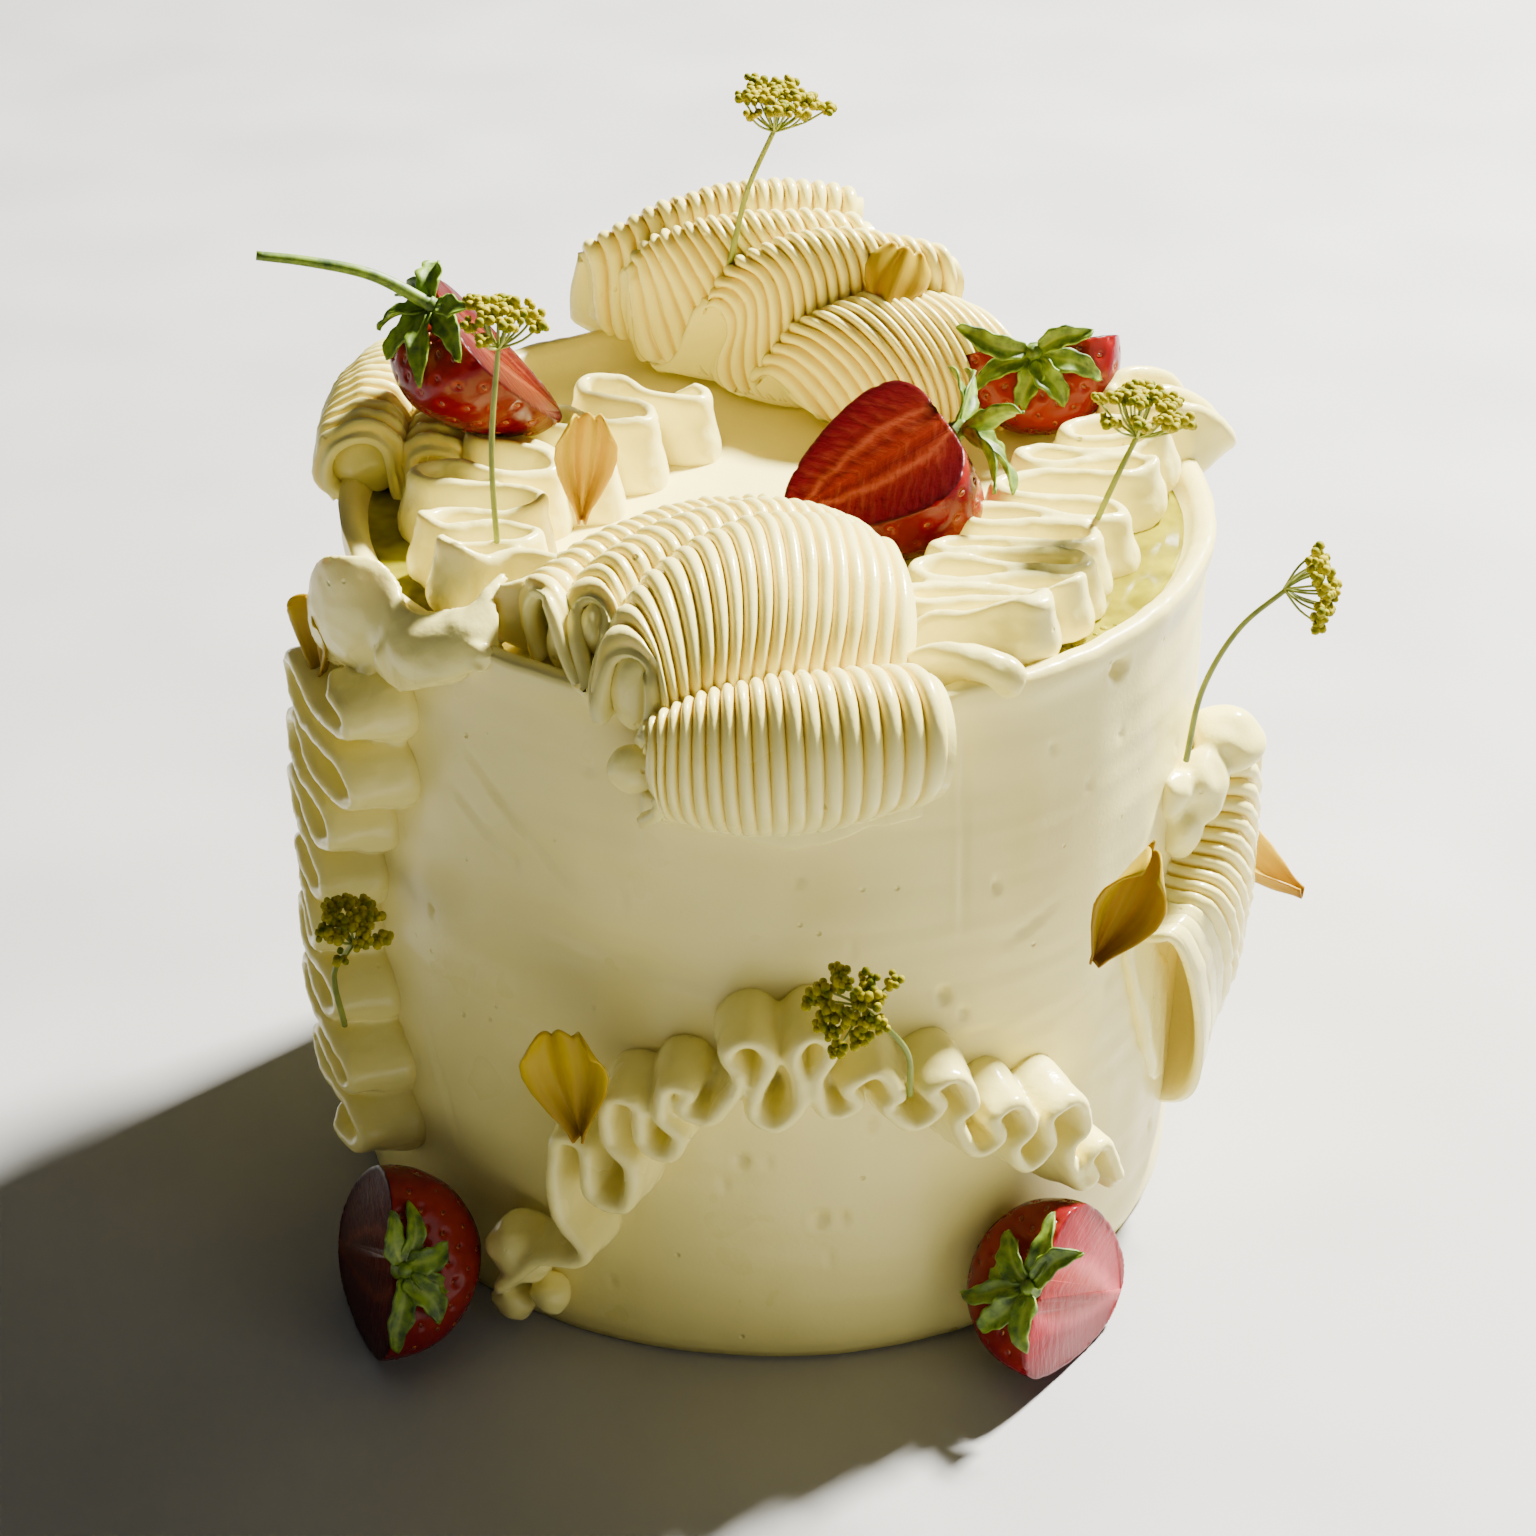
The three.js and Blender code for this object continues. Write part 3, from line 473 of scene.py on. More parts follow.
def scratch_marks(arc, height):
    """How far scratches push the wall in, each with a low ridge of cream beside it."""
    depth = np.zeros(len(arc))
    for at, level, at_end, level_end, deep in SCRATCHES:
        first = np.array([arc_at(at), level])
        run = np.array([arc_at(at_end), level_end]) - first
        length = np.hypot(*run)
        along, up = arc - first[0], height - first[1]
        share = np.clip((along * run[0] + up * run[1]) / length ** 2, 0, 1)
        off = along * run[1] / length - up * run[0] / length
        beyond = np.hypot(along - run[0] * share, up - run[1] * share) - np.abs(off)
        line = np.exp(-(off / SCRATCH_WIDTH) ** 2)
        line = line - 0.5 * np.exp(-((off - RIDGE_OFFSET) / SCRATCH_WIDTH) ** 2)
        fade = np.exp(-(beyond / SCRATCH_END) ** 2)
        depth += deep * line * fade * np.sin(math.pi * (0.1 + 0.8 * share))
    return depth


def scraped(places):
    """The places of the cake after the scraper: waves, level lines, a swelling lip and the marks."""
    reach = np.hypot(places[:, 0], places[:, 1])
    azimuth = np.arctan2(places[:, 0], -places[:, 1])
    height = places[:, 2]
    sine, cosine = np.sin(azimuth), np.cos(azimuth)
    on_wall = smooth_share(reach, 80, 86)
    taper = (BASE_RADIUS - TOP_RADIUS) * height / RIM_LEVEL
    round_wall = np.stack([sine * 4, cosine * 4, height / 60], axis=1)
    level_lines = np.stack([sine * 2.5, cosine * 2.5, height / 3.2 + np.sin(azimuth * 2)], axis=1)
    sway = churn(round_wall, 1.6, 1) * 0.55 + churn(round_wall * 4, 1.6, 2) * 0.30
    sway = sway + churn(level_lines, 1.0, 8) * 0.26
    lip = smooth_share(height, RIM_LEVEL - 9, RIM_LEVEL - 2) * (1.1 + 0.5 * churn(round_wall, 0.7, 3))
    foot = smooth_share(4 - height, 0, 4) * -1.2
    arc = azimuth * BASE_RADIUS
    marks = pit_marks(arc, height) + scratch_marks(arc, height)
    outward = on_wall * (sway - taper + lip + foot - marks)
    near_rim = smooth_share(reach, 79, 84) * smooth_share(height, 130, 149)
    rise = near_rim * (0.7 * churn(round_wall, 0.8, 4) + 0.25 * churn(round_wall * 5, 0.8, 5))
    top_wave = (1 - on_wall) * smooth_share(height, 100, 140) * 0.25 * churn(places, 22.0, 6)
    return places + np.stack([sine * outward, -cosine * outward, rise + top_wave], axis=1)


move_points(cake, scraped(points_of(cake)))
mend_skin(cake, fill=False)
cake.data.materials.append(smooth_cream)
hand_over(cake, "cake")

# %% [markdown]
# ## Where things lie on the cake
# Pieces on top that run over the rim are laid out on an unrolled skin: x and y in plan, then down
# the side once the rim is passed, with n the height off the skin. Pieces on the side use the arc
# length around the cake and the height.

# %% Unrolled skin
EDGE_ROUND = 8.0
EDGE_CENTRE = 80.0


def drape(x, y, n):
    """Places on top and over the rim, from plan x and y and the height n off the skin."""
    reach = np.hypot(x, y)
    bend = EDGE_ROUND * math.pi / 2
    ramp = smooth_share(reach, EDGE_CENTRE - EDGE_ROUND, EDGE_CENTRE)
    turn = np.clip((reach - EDGE_CENTRE) / EDGE_ROUND, 0, math.pi / 2)
    drop = np.maximum(0, reach - EDGE_CENTRE - bend)
    radius = np.minimum(reach, EDGE_CENTRE) + (EDGE_ROUND + n) * np.sin(turn)
    level = TOP_LEVEL + ramp * (RIM_LEVEL - TOP_LEVEL - EDGE_ROUND)
    level = level + (ramp * EDGE_ROUND + n) * np.cos(turn) - drop
    side = radius / np.maximum(reach, 1e-6)
    return np.stack([x * side, y * side, level], axis=-1)


def wrap(arc, height, n):
    """Places on the side, from the arc length, the height and n off the skin."""
    radius = BASE_RADIUS + n
    angle = arc / BASE_RADIUS
    return np.stack([radius * np.sin(angle), -radius * np.cos(angle), height + 0 * n], axis=-1)


def on_side(*turns):
    """Turns given as azimuth and height, as arc length and height."""
    return [(arc_at(azimuth), height) for azimuth, height in turns]


def on_wall_point(azimuth, height, n):
    """One place on the side."""
    return tuple(wrap(arc_at(azimuth), height, n))


print("rim at", drape(EDGE_CENTRE, 0.0, 0.0).round(1))

# %% [markdown]
# ## Fold shading
# How enclosed each point of the cream is, is measured once on the finished mesh: all points are
# counted into a coarse grid of cells, the counts are blurred, and each point looks up the count a
# few millimetres in front of itself. In the open that count is low, and between two walls it is
# high. The result is written to the attribute "fold", from which the cream finish paints shade: a
# deeper yellow where the cream is enclosed, in folds and where pieces meet.

# %% Fold attribute
CELL = 1.5
LOOK_AHEAD = 3.2


def blurred(counts, passes):
    """Counts spread over their neighbours."""
    for _ in range(passes):
        for axis in range(3):
            counts = (np.roll(counts, 1, axis) + 2 * counts + np.roll(counts, -1, axis)) / 4
    return counts


def area_per_point(piece):
    """The skin area that each point stands for, in square millimetres."""
    faces = piece.data.polygons
    areas = np.empty(len(faces))
    faces.foreach_get("area", areas)
    loops = np.empty(len(piece.data.loops), int)
    piece.data.loops.foreach_get("vertex_index", loops)
    totals = np.empty(len(faces), int)
    faces.foreach_get("loop_total", totals)
    share = np.repeat(areas / np.maximum(totals, 1), totals) / (MM * MM)
    return np.bincount(loops, share, minlength=len(piece.data.vertices))


def paint_fold_shade(pieces, others, open_count, deep_count):
    """Writes the attribute fold for painted shade on these pieces, counting the skin of others as well."""
    everything = pieces + others
    clouds = [points_of(piece) for piece in everything]
    weights = [area_per_point(piece) for piece in everything]
    low = np.min([cloud.min(0) for cloud in clouds], axis=0) - 6 * CELL
    high = np.max([cloud.max(0) for cloud in clouds], axis=0) + 6 * CELL
    shape = np.ceil((high - low) / CELL).astype(int) + 1
    counts = np.zeros(shape)
    for cloud, weight in zip(clouds, weights):
        cells = ((cloud - low) / CELL).round().astype(int)
        np.add.at(counts, tuple(cells.T), weight)
    counts = blurred(counts, 3) / CELL ** 2
    for piece, cloud in zip(pieces, clouds):
        ahead = cloud + normals_of(piece) * LOOK_AHEAD
        cells = np.clip(((ahead - low) / CELL).round().astype(int), 0, shape - 1)
        fold = smooth_share(counts[tuple(cells.T)], open_count, deep_count)
        keep_values(piece, "fold", fold)
        print(piece.name, "fold", fold.mean().round(3))


print("cell", CELL, "mm")

# %% [markdown]
# ## Ribbons pressed through a comb
# A wide flat nozzle with a toothed edge lays a band of cream with round ribs side by side. The band
# is laid in standing waves: up over a crest, down to the skin, round, and up again beside itself.
# Each wave is given by three lines across the band: the groove on either side and the crest. The
# band is a rolled grid: its outer face carries the ribs, its inner face is smooth, and its two long
# edges are rounded. By hand one would extrude a ribbed strip along a curve, but here the three
# lines bend the strip in two directions at once, so its rows are placed directly.

# %% Ribbed ribbon
RIB_SAMPLES = (0.0, 0.06, 0.18, 0.34, 0.5, 0.66, 0.82, 0.94)
ARCH_STEPS = 26
LEG_STEPS = 5
ARCH_FULLNESS = 0.72
BAND_THICKNESS = 3.2
RIB_HEIGHT = 2.0
BAND_GAP = 0.15


def on_line(line, t):
    """Points of a line through its left, middle and right places, at shares t."""
    left, middle, right = (np.array(place, float) for place in line)
    t = t[:, None]
    return (1 - t) * (1 - 2 * t) * left + 4 * t * (1 - t) * middle + t * (2 * t - 1) * right


def band_path(grooves, crests, feet, t, half_gap):
    """Rows of places along the band, one column for each share t across it."""
    rows = []
    for fold, crest in enumerate(crests):
        start, end = on_line(grooves[fold], t), on_line(grooves[fold + 1], t)
        foot_in, foot_out = on_line(feet[fold], t), on_line(feet[fold + 1], t)
        top = on_line(crest, t)
        along = unit(end - start)
        inset = along * half_gap
        for step in range(LEG_STEPS):
            share = step / LEG_STEPS
            rows.append(foot_in + inset * (0.4 + 0.6 * share) + (start - foot_in) * share)
        middle = (start + end) / 2
        half = (end - start) / 2 - inset
        for step in range(ARCH_STEPS + 1):
            angle = math.pi * step / ARCH_STEPS
            rise = math.sin(angle) ** ARCH_FULLNESS if 0 < step < ARCH_STEPS else 0.0
            rows.append(middle - half * math.cos(angle) + (top - middle) * rise)
        for step in range(1, LEG_STEPS + 1):
            share = step / LEG_STEPS
            rows.append(end - inset * (1 - 0.6 * share) + (foot_out - end) * share)
    return np.array(rows)


def evened(rows, passes):
    """Rows of a path with each point drawn towards its neighbours along the path."""
    for _ in range(passes):
        middle = (rows[:-2] + 2 * rows[1:-1] + rows[2:]) / 4
        rows = np.concatenate([rows[:1], middle, rows[-1:]])
    return rows


def lengths_along(places):
    """How far each place lies along a bent line."""
    return np.concatenate([[0], np.cumsum(np.linalg.norm(np.diff(places, axis=0), axis=1))])


def even_line(places, count):
    """This many places at even steps along a bent line."""
    places = np.array(places, float)
    lengths = lengths_along(places)
    even = np.linspace(0, lengths[-1], count)
    columns = [np.interp(even, lengths, column) for column in places.T]
    return np.stack(columns, axis=1)


def pulled_to_edge(path, edges, reach, t):
    """Draws the band onto the lines of its cut left end, less and less towards the right."""
    rows = len(path) // len(edges)
    line = np.concatenate([even_line(edge, rows) for edge in edges])
    weight = np.clip(1 - t / reach, 0, 1) ** 2
    return path + weight[None, :, None] * (line - path[:, 0])[:, None, :]


def band_noise(rows, columns, seed):
    """Smooth random numbers for each row and column of the band."""
    return np.array([[noise.noise(Vector((row, column, seed))) for column in columns] for row in rows])


def facing_out(path, out, shape):
    """The band's normals, turned up, or away from the cake for a band that stands upright."""
    if shape.get("upright"):
        middle = len(path) // 2
        looks_in = (out[middle] * path[middle] * np.array([1, 1, 0])).sum() < 0
    else:
        looks_in = out[len(path) // (2 * len(shape["crests"])), :, 2].mean() < 0
    return -out if looks_in else out


def rounded_edge(path, across, out, half, side):
    """Two columns of places that round one long edge of the band, upper first."""
    column = -1 if side > 0 else 0
    edge = path[:, column] + across[:, column] * half * 0.9 * side
    lift = out[:, column] * half * 0.55
    return (edge + lift)[:, None], (edge - lift)[:, None]


def ribbed_ribbon(name, shape, seed, fade=None):
    """A band of round ribs laid over its crests."""
    ribs, half = shape["ribs"], BAND_THICKNESS / 2
    samples = np.array([(rib + u) / ribs for rib in range(ribs) for u in RIB_SAMPLES] + [1.0])
    u = samples * ribs - np.floor(samples * ribs)
    bead = np.sqrt(np.clip(1 - (2 * u - 1) ** 2, 0, 1))
    path = band_path(shape["grooves"], shape["crests"], shape["feet"], samples, half + BAND_GAP)
    if "left_edges" in shape:
        path = pulled_to_edge(path, shape["left_edges"], shape["edge_reach"], samples)
    path = evened(path, 3)
    across = unit(np.gradient(path, axis=1))
    out = facing_out(path, unit(np.cross(across, unit(np.gradient(path, axis=0)))), shape)
    rows = np.linspace(0, 1, len(path))
    wobble = band_noise(rows * 22.0, samples * ribs * 0.35, seed * 7.7)
    fine = band_noise(rows * 70.0, np.round(samples * ribs - 0.5) * 1.7, seed * 3.1)
    strength = np.ones(path.shape[:2])
    if fade is not None:
        strength = fade(rows[:, None], samples[None, :]) + 0 * strength
    height = RIB_HEIGHT * strength * (1 + 0.22 * wobble) * bead[None, :] + 0.18 * fine + 0.35 * wobble
    outer = path + out * (half + height - RIB_HEIGHT * 0.5)[:, :, None]
    inner = (path - out * half)[:, ::len(RIB_SAMPLES) // 2][:, ::-1]
    right_upper, right_lower = rounded_edge(path, across, out, half, 1)
    left_upper, left_lower = rounded_edge(path, across, out, half, -1)
    rings = np.concatenate([outer, right_upper, right_lower, inner, left_lower, left_upper], axis=1)
    # painted shade for the valleys between ribs: strongest in each valley, none on the crests and the
    # edges
    valley_shade = np.zeros(rings.shape[:2])
    valley_shade[:, :len(samples)] = strength * (2 * u[None, :] - 1) ** 2
    valley_shade[:, 0] = valley_shade[:, len(samples) - 1] = 0
    return rolled_grid(name, rings, valley_shade)


print("samples per rib", len(RIB_SAMPLES))

# %% [markdown]
# Cream that drops off the nozzle stays as a rounded lump, and cream that is dragged over the wall
# stays as a thin smear. A lump is a small sphere, drawn out and dented by noise. A smear is one
# section swept along the wall. Pieces that overlap are fused into one skin with a voxel remesh and
# then eased, as soft cream runs together.

# %% Lumps and smears
SMEAR_STATIONS = 48
SMEAR_PROFILE = np.array([
    (0.0, -0.8), (0.02, 0.35), (0.07, 0.85), (0.16, 1.0), (0.4, 0.75), (0.7, 0.6), (0.93, 0.4),
    (1.0, -0.8),
])
SUNK_BACK = -1.8


def cream_lump(name, centre, radii, seed, roughness):
    """A rounded lump of cream, uneven like all that drops off a nozzle."""
    bpy.ops.mesh.primitive_ico_sphere_add(subdivisions=5, radius=1)
    lump = bpy.context.object
    lump.name = name
    places = points_of(lump) * MM
    bulge = 1 + roughness * 0.35 * churn(places, 0.8, seed)
    move_points(lump, np.array(centre) + places * bulge[:, None] * np.array(radii))
    return lump


def wall_smear(name, stations, thickness, seed):
    """Cream dragged thinly over the side: azimuth, lower edge and upper edge at some stations."""
    table = np.array(stations, float)
    rings = []
    for share in np.linspace(0, 1, SMEAR_STATIONS):
        azimuth = table[0, 0] + share * (table[-1, 0] - table[0, 0])
        low, high = (np.interp(azimuth, table[:, 0], table[:, column]) for column in (1, 2))
        low += 0.5 * noise.noise(Vector((azimuth * 0.4, seed, 0)))
        level = low + (high - low) * SMEAR_PROFILE[:, 0]
        full = thickness * math.sin(math.pi * (0.06 + 0.88 * share)) ** 0.5
        n = full * SMEAR_PROFILE[:, 1] * (1 + 0.3 * noise.noise(Vector((azimuth * 0.3, seed, 5))))
        outer = wrap(arc_at(azimuth), level, n)
        inner = wrap(arc_at(azimuth), level[::-1], np.full(len(level), SUNK_BACK))
        rings.append(np.concatenate([outer, inner]))
    return rolled_grid(name, np.array(rings))


def fuse(piece, voxel, ease):
    """One skin over all that overlaps, with its creases eased."""
    apply_modifier(piece, "REMESH", mode="VOXEL", voxel_size=voxel * MM, adaptivity=0.0)
    apply_modifier(piece, "SMOOTH", factor=0.5, iterations=ease)
    return piece


print("smear stations", SMEAR_STATIONS)

# %% [markdown]
# The wide ribbon at the front has four waves: three on the flat top and one that hangs over the
# rim. Its last wave was pressed against the side, so its ribs flatten out towards the bottom edge.
# A few lumps fill its left end, and a thin smear shows below it.

# %% Front ribbon
FRONT_RIBBON = {
    "ribs": 19,
    "grooves": [
        [(-47, -55, 150), (-24, -29, 149), (4, -25, 149)],
        [(-42, -62, 154), (-16, -41, 159), (8, -35, 157)],
        [(-31, -75, 155), (-8, -54, 162), (19, -44, 156)],
        [(-22, -92, 150), (-3, -84, 154), (24, -74, 152)],
        [(-22.5, -87.5, 129), (-1, -90, 124.5), (26.5, -86, 129)],
    ],
    "crests": [
        [(-45, -63, 160), (-24, -38, 162), (1, -32, 162)],
        [(-37, -67, 162), (-10, -47, 168), (16, -38, 161)],
        [(-29.5, -83, 159), (-3, -63.5, 170), (23, -54, 161)],
        [(-25, -95, 141), (-2, -98, 146), (31, -93, 149)],
    ],
    "feet": [
        [(-46, -54, 145), (-24, -30, 145), (4, -26, 145)],
        [(-40, -66, 145), (-16, -44, 145), (8, -37, 145)],
        [(-31, -76, 146), (-8, -56, 145), (19, -47, 145)],
        [(-22, -85, 145), (-3, -83, 147), (24, -74, 145)],
        [(-22, -85, 129), (-1, -88, 124.5), (26, -84, 129)],
    ],
    "edge_reach": 0.18,
    "left_edges": [
        [(-42.9, -66.2, 148), (-44.5, -63.5, 150.5), (-45.4, -61.9, 154.8), (-44.9, -62.8, 159.1),
         (-43.2, -65.6, 162), (-41.2, -69, 162.5), (-39.7, -71.7, 159.6), (-38.1, -74.2, 154.4),
         (-35.6, -78.5, 150.4), (-33.4, -82.1, 150)],
        [(-33.4, -82, 149.9), (-34.7, -78, 152.8), (-36.3, -74, 156.4), (-36.7, -70, 160),
         (-35.5, -68, 162), (-33.6, -68, 162.9), (-31.4, -70, 162.5), (-30.1, -74, 160.6),
         (-30, -77, 158.1), (-31.3, -81, 154.6), (-32.1, -84, 151.7), (-31.8, -85.5, 148.4),
         (-30.9, -86.1, 146.1)],
        [(-30.9, -86.1, 146.1), (-31.6, -85.8, 149.7), (-30.7, -85, 154.4), (-29.7, -84, 157.9),
         (-27.6, -83, 159.4), (-25.4, -83.5, 160), (-23, -85.5, 159.3), (-21.7, -88, 157.2),
         (-21.4, -90, 153.3), (-22, -90.5, 149), (-23.3, -89.5, 144.3)],
        [(-23.3, -89.5, 144.3), (-22.8, -92, 147.5), (-21, -95, 148), (-19.5, -96.5, 144),
         (-19.5, -96, 138), (-20, -94, 132), (-22.5, -91, 128.5), (-23, -89, 127.5)],
    ],
}


FRONT_FILLINGS = [
    ((-39.0, -67.5, 152.5), (2.6, 3.4, 6.2)), ((-32.6, -70.5, 157.0), (2.8, 4.4, 4.8)),
    ((-25.0, -83.8, 151.6), (4.2, 4.2, 7.8)), ((-25.0, -88.4, 138.0), (4.8, 3.2, 4.8)),
]
FRONT_SMEAR = [
    (-16, 125.2, 131), (-10, 123.8, 131), (-3.8, 122.4, 131), (2.3, 120.3, 131), (7.1, 122.0, 131),
    (12, 124.6, 131), (18.5, 125.2, 131),
]


def pressed_flat(row, _share):
    """The ribs of the last wave fade towards its bottom edge."""
    return 1 - 0.75 * smooth_share(row, 0.86, 0.985)


front_ribbon = ribbed_ribbon("ribbed_ribbon_front", FRONT_RIBBON, 2, pressed_flat)
fillings = [cream_lump("filling", centre, radii, 31 + number, 0.25)
            for number, (centre, radii) in enumerate(FRONT_FILLINGS)]
front_smear = wall_smear("smear", FRONT_SMEAR, 1.5, 2)
front_ribbon = join_pieces("ribbed_ribbon_front", [front_ribbon, front_smear] + fillings)

# %% [markdown]
# The mound at the back is the same band, laid in four high waves that lean on each other.

# %% Back ribbon
BACK_RIBBON = {
    "ribs": 19,
    "grooves": [
        [(-43, 74, 156), (-19, 80, 156), (10, 82, 156)],
        [(-32, 67, 165), (-11, 68, 172), (15, 68, 172)],
        [(-19, 55, 158), (-1, 58, 168), (24, 60, 170)],
        [(-4, 45, 152), (12, 50, 163), (36, 56, 163)],
        [(19, 29, 149), (34, 35, 149), (54, 42, 149)],
    ],
    "crests": [
        [(-38, 73, 171), (-14, 74, 183), (15, 75, 182)],
        [(-28, 61, 174), (-11, 60, 182), (17, 62, 182)],
        [(-13, 49, 170), (7, 51, 182), (35, 54, 178)],
        [(5, 37, 159), (22, 39, 170), (46, 46, 165)],
    ],
    "feet": [
        [(-41, 73, 145), (-19, 78, 145), (10, 79, 145)],
        [(-31, 67, 147), (-11, 68, 145), (15, 69, 145)],
        [(-17, 56, 147), (-1, 60, 145), (24, 62, 145)],
        [(-3, 45, 146), (12, 51, 145), (36, 58, 145)],
        [(18, 31, 145), (33, 37, 145), (52, 44, 145)],
    ],
    "edge_reach": 0.45,
    "left_edges": [
        [(-44, 81, 151), (-44, 81, 160), (-42.5, 79, 168), (-41, 77, 168.5), (-40, 76, 164),
         (-40, 76.5, 157), (-39.5, 77, 153.5), (-37.5, 77, 152.3)],
        [(-37.4, 76.9, 152.5), (-34.6, 74.2, 154.6), (-33.3, 72.9, 159.5), (-33.7, 73.3, 163.9),
         (-33, 72.6, 167.7), (-31.2, 70.9, 167.7), (-30.6, 70.3, 162.9), (-30.8, 70.5, 156.8),
         (-30.4, 70.1, 150.9), (-28.6, 68.4, 147.5), (-25.5, 65.4, 147.5)],
        [(-24.8, 64.7, 147.8), (-22, 62.9, 150.1), (-19.8, 61.4, 155), (-18.5, 60.6, 159.3),
         (-16.8, 59.4, 163.3), (-14.7, 58, 165.5), (-12.5, 56.6, 166), (-10.2, 55.1, 164.4),
         (-9.5, 54.6, 161), (-11, 55.6, 156.6), (-12.6, 56.7, 152.6), (-12.4, 56.5, 149),
         (-10.2, 55.1, 147.3), (-8.1, 53.7, 147.6)],
        [(-8.1, 53.7, 147.6), (-5.5, 51.5, 149.8), (-2.8, 49.3, 153.6), (-0.5, 47.3, 154.5),
         (1.6, 45.6, 152.9), (5.2, 42.5, 150.4), (9.5, 39, 147.8)],
    ],
}
back_ribbon = ribbed_ribbon("ribbed_ribbon_back", BACK_RIBBON, 4)

# %% [markdown]
# Two more ribbons: one folds over the rim on the left, and one hangs on the right side like a folded
# tongue. Its ribs slant down, and the nozzle left a round knob of cream at its top.

# %% Left and right ribbons
LEFT_RIBBON = {
    "ribs": 14,
    "grooves": [
        [(-60, 4, 149), (-59, 22, 149), (-56, 42, 149)],
        [(-75, 3, 153), (-73, 24, 156), (-70, 45, 154)],
        [(-92, 2, 149), (-92, 26, 149), (-86, 46, 149)],
    ],
    "crests": [
        [(-67, 3, 157), (-66, 24, 160), (-63, 44, 158)],
        [(-84, 2, 160), (-83, 25, 163), (-79, 46, 160)],
    ],
    "feet": [
        [(-60, 4, 145), (-59, 22, 145), (-56, 42, 145)],
        [(-75, 3, 145), (-73, 24, 145), (-70, 44, 145)],
        [(-88, 2, 147), (-88, 24, 147), (-81, 42, 147)],
    ],
}
RIGHT_RIBBON = {
    "ribs": 13,
    "upright": True,
    "grooves": [
        [on_wall_point(76, 104, 7), on_wall_point(70, 85, 4.5), on_wall_point(58, 78, 3)],
        [on_wall_point(92, 68, 4), on_wall_point(87, 42, 4), on_wall_point(75, 20, 4)],
    ],
    "crests": [[on_wall_point(84, 90, 11), on_wall_point(78, 66, 11.5), on_wall_point(66, 56, 9)]],
    "feet": [
        [on_wall_point(76, 104, -2), on_wall_point(70, 85, -2), on_wall_point(58, 78, -2)],
        [on_wall_point(92, 68, -2), on_wall_point(87, 42, -2), on_wall_point(75, 20, -2)],
    ],
}


KNOB_LUMPS = [
    (77, 107, 6.0, 7.6, 6.4), (82, 99, 9.5, 4.6, 8.0), (71, 101, 2.4, 6.6, 7.4), (68, 93, 0.8, 4.6, 6.4),
    (66, 103, -0.6, 4.2, 5.0),
]
RIGHT_SMEAR = [(54, 74, 79), (58, 58, 79), (62, 44, 76), (66, 34, 66), (71, 28, 60)]
KNOB_VOXEL = 0.7


def smooth_tail(_row, share):
    """The ribs of the right ribbon run out in its last folds, which hang down as a smooth tail."""
    return 1 - 0.9 * smooth_share(share, 0.66, 0.84)


left_ribbon = ribbed_ribbon("ribbed_ribbon_left", LEFT_RIBBON, 6)
right_ribbon = ribbed_ribbon("ribbed_ribbon_right", RIGHT_RIBBON, 8, smooth_tail)
knob = [cream_lump("knob", on_wall_point(azimuth, height, n), (wide, wide, tall), 3 + azimuth, 0.7)
        for azimuth, height, n, wide, tall in KNOB_LUMPS]
knob = fuse(join_pieces("knob", knob + [wall_smear("smear", RIGHT_SMEAR, 1.6, 6)]), KNOB_VOXEL, 10)
right_ribbon = join_pieces("ribbed_ribbon_right", [right_ribbon, knob])
left_filling = cream_lump("filling", (-83, 9, 151.5), (7.4, 7.0, 7.2), 44, 0.4)
left_ribbon = join_pieces("ribbed_ribbon_left", [left_ribbon, left_filling])

# %% [markdown]
# ## Piped ruffles
# The ruffles are piped with a petal nozzle: it lays a wall that is fat at its foot and thin at its
# edge, and the hand goes back and forth, so that the wall stands in loops. Each ruffle is one path
# through its turns. At each turn the path makes a round lobe. The wall's section is swept along it,
# then the legs, which touch at their feet, are fused into one skin. The section gives shares of the
# half width and of the height. The turns are plan places for the ruffles on top, and azimuth and
# height for those on the side.

# %% Ruffle
WALL_SECTION = [
    (-1, 0.0), (-1.06, 0.1), (-1.05, 0.22), (-0.9, 0.38), (-0.68, 0.56), (-0.5, 0.76), (-0.43, 0.9),
    (-0.3, 0.98), (0, 1.02), (0.3, 0.98), (0.43, 0.9), (0.5, 0.76), (0.68, 0.56), (0.9, 0.38),
    (1.05, 0.22), (1.06, 0.1), (1, 0.0),
]
STATION = 0.8
VOXEL = 0.62
SUNK = 1.6
END_TAPER = 9.0
ROPE_RADIUS = 3.0
ROPE_FADE = 12
SHEET_STATIONS = 60


def lobe_nodes(turns, share, limit):
    """Path nodes: every turn becomes a shoulder, an apex and a shoulder."""
    turns = [np.array(turn, float) for turn in turns]
    nodes = [turns[0]]
    for before, turn, after in zip(turns, turns[1:], turns[2:]):
        span = after - before
        lobe = min(np.linalg.norm(span) * share, limit)
        along = span / np.linalg.norm(span) * lobe
        back = (before + after) / 2 - turn
        shoulder = turn + back / np.linalg.norm(back) * lobe
        nodes += [shoulder - along, turn, shoulder + along]
    return np.array(nodes + [turns[-1]])


def blend(t, start, end, first, last):
    """From first at start to last at end."""
    return (end - t) / (end - start) * first + (t - start) / (end - start) * last


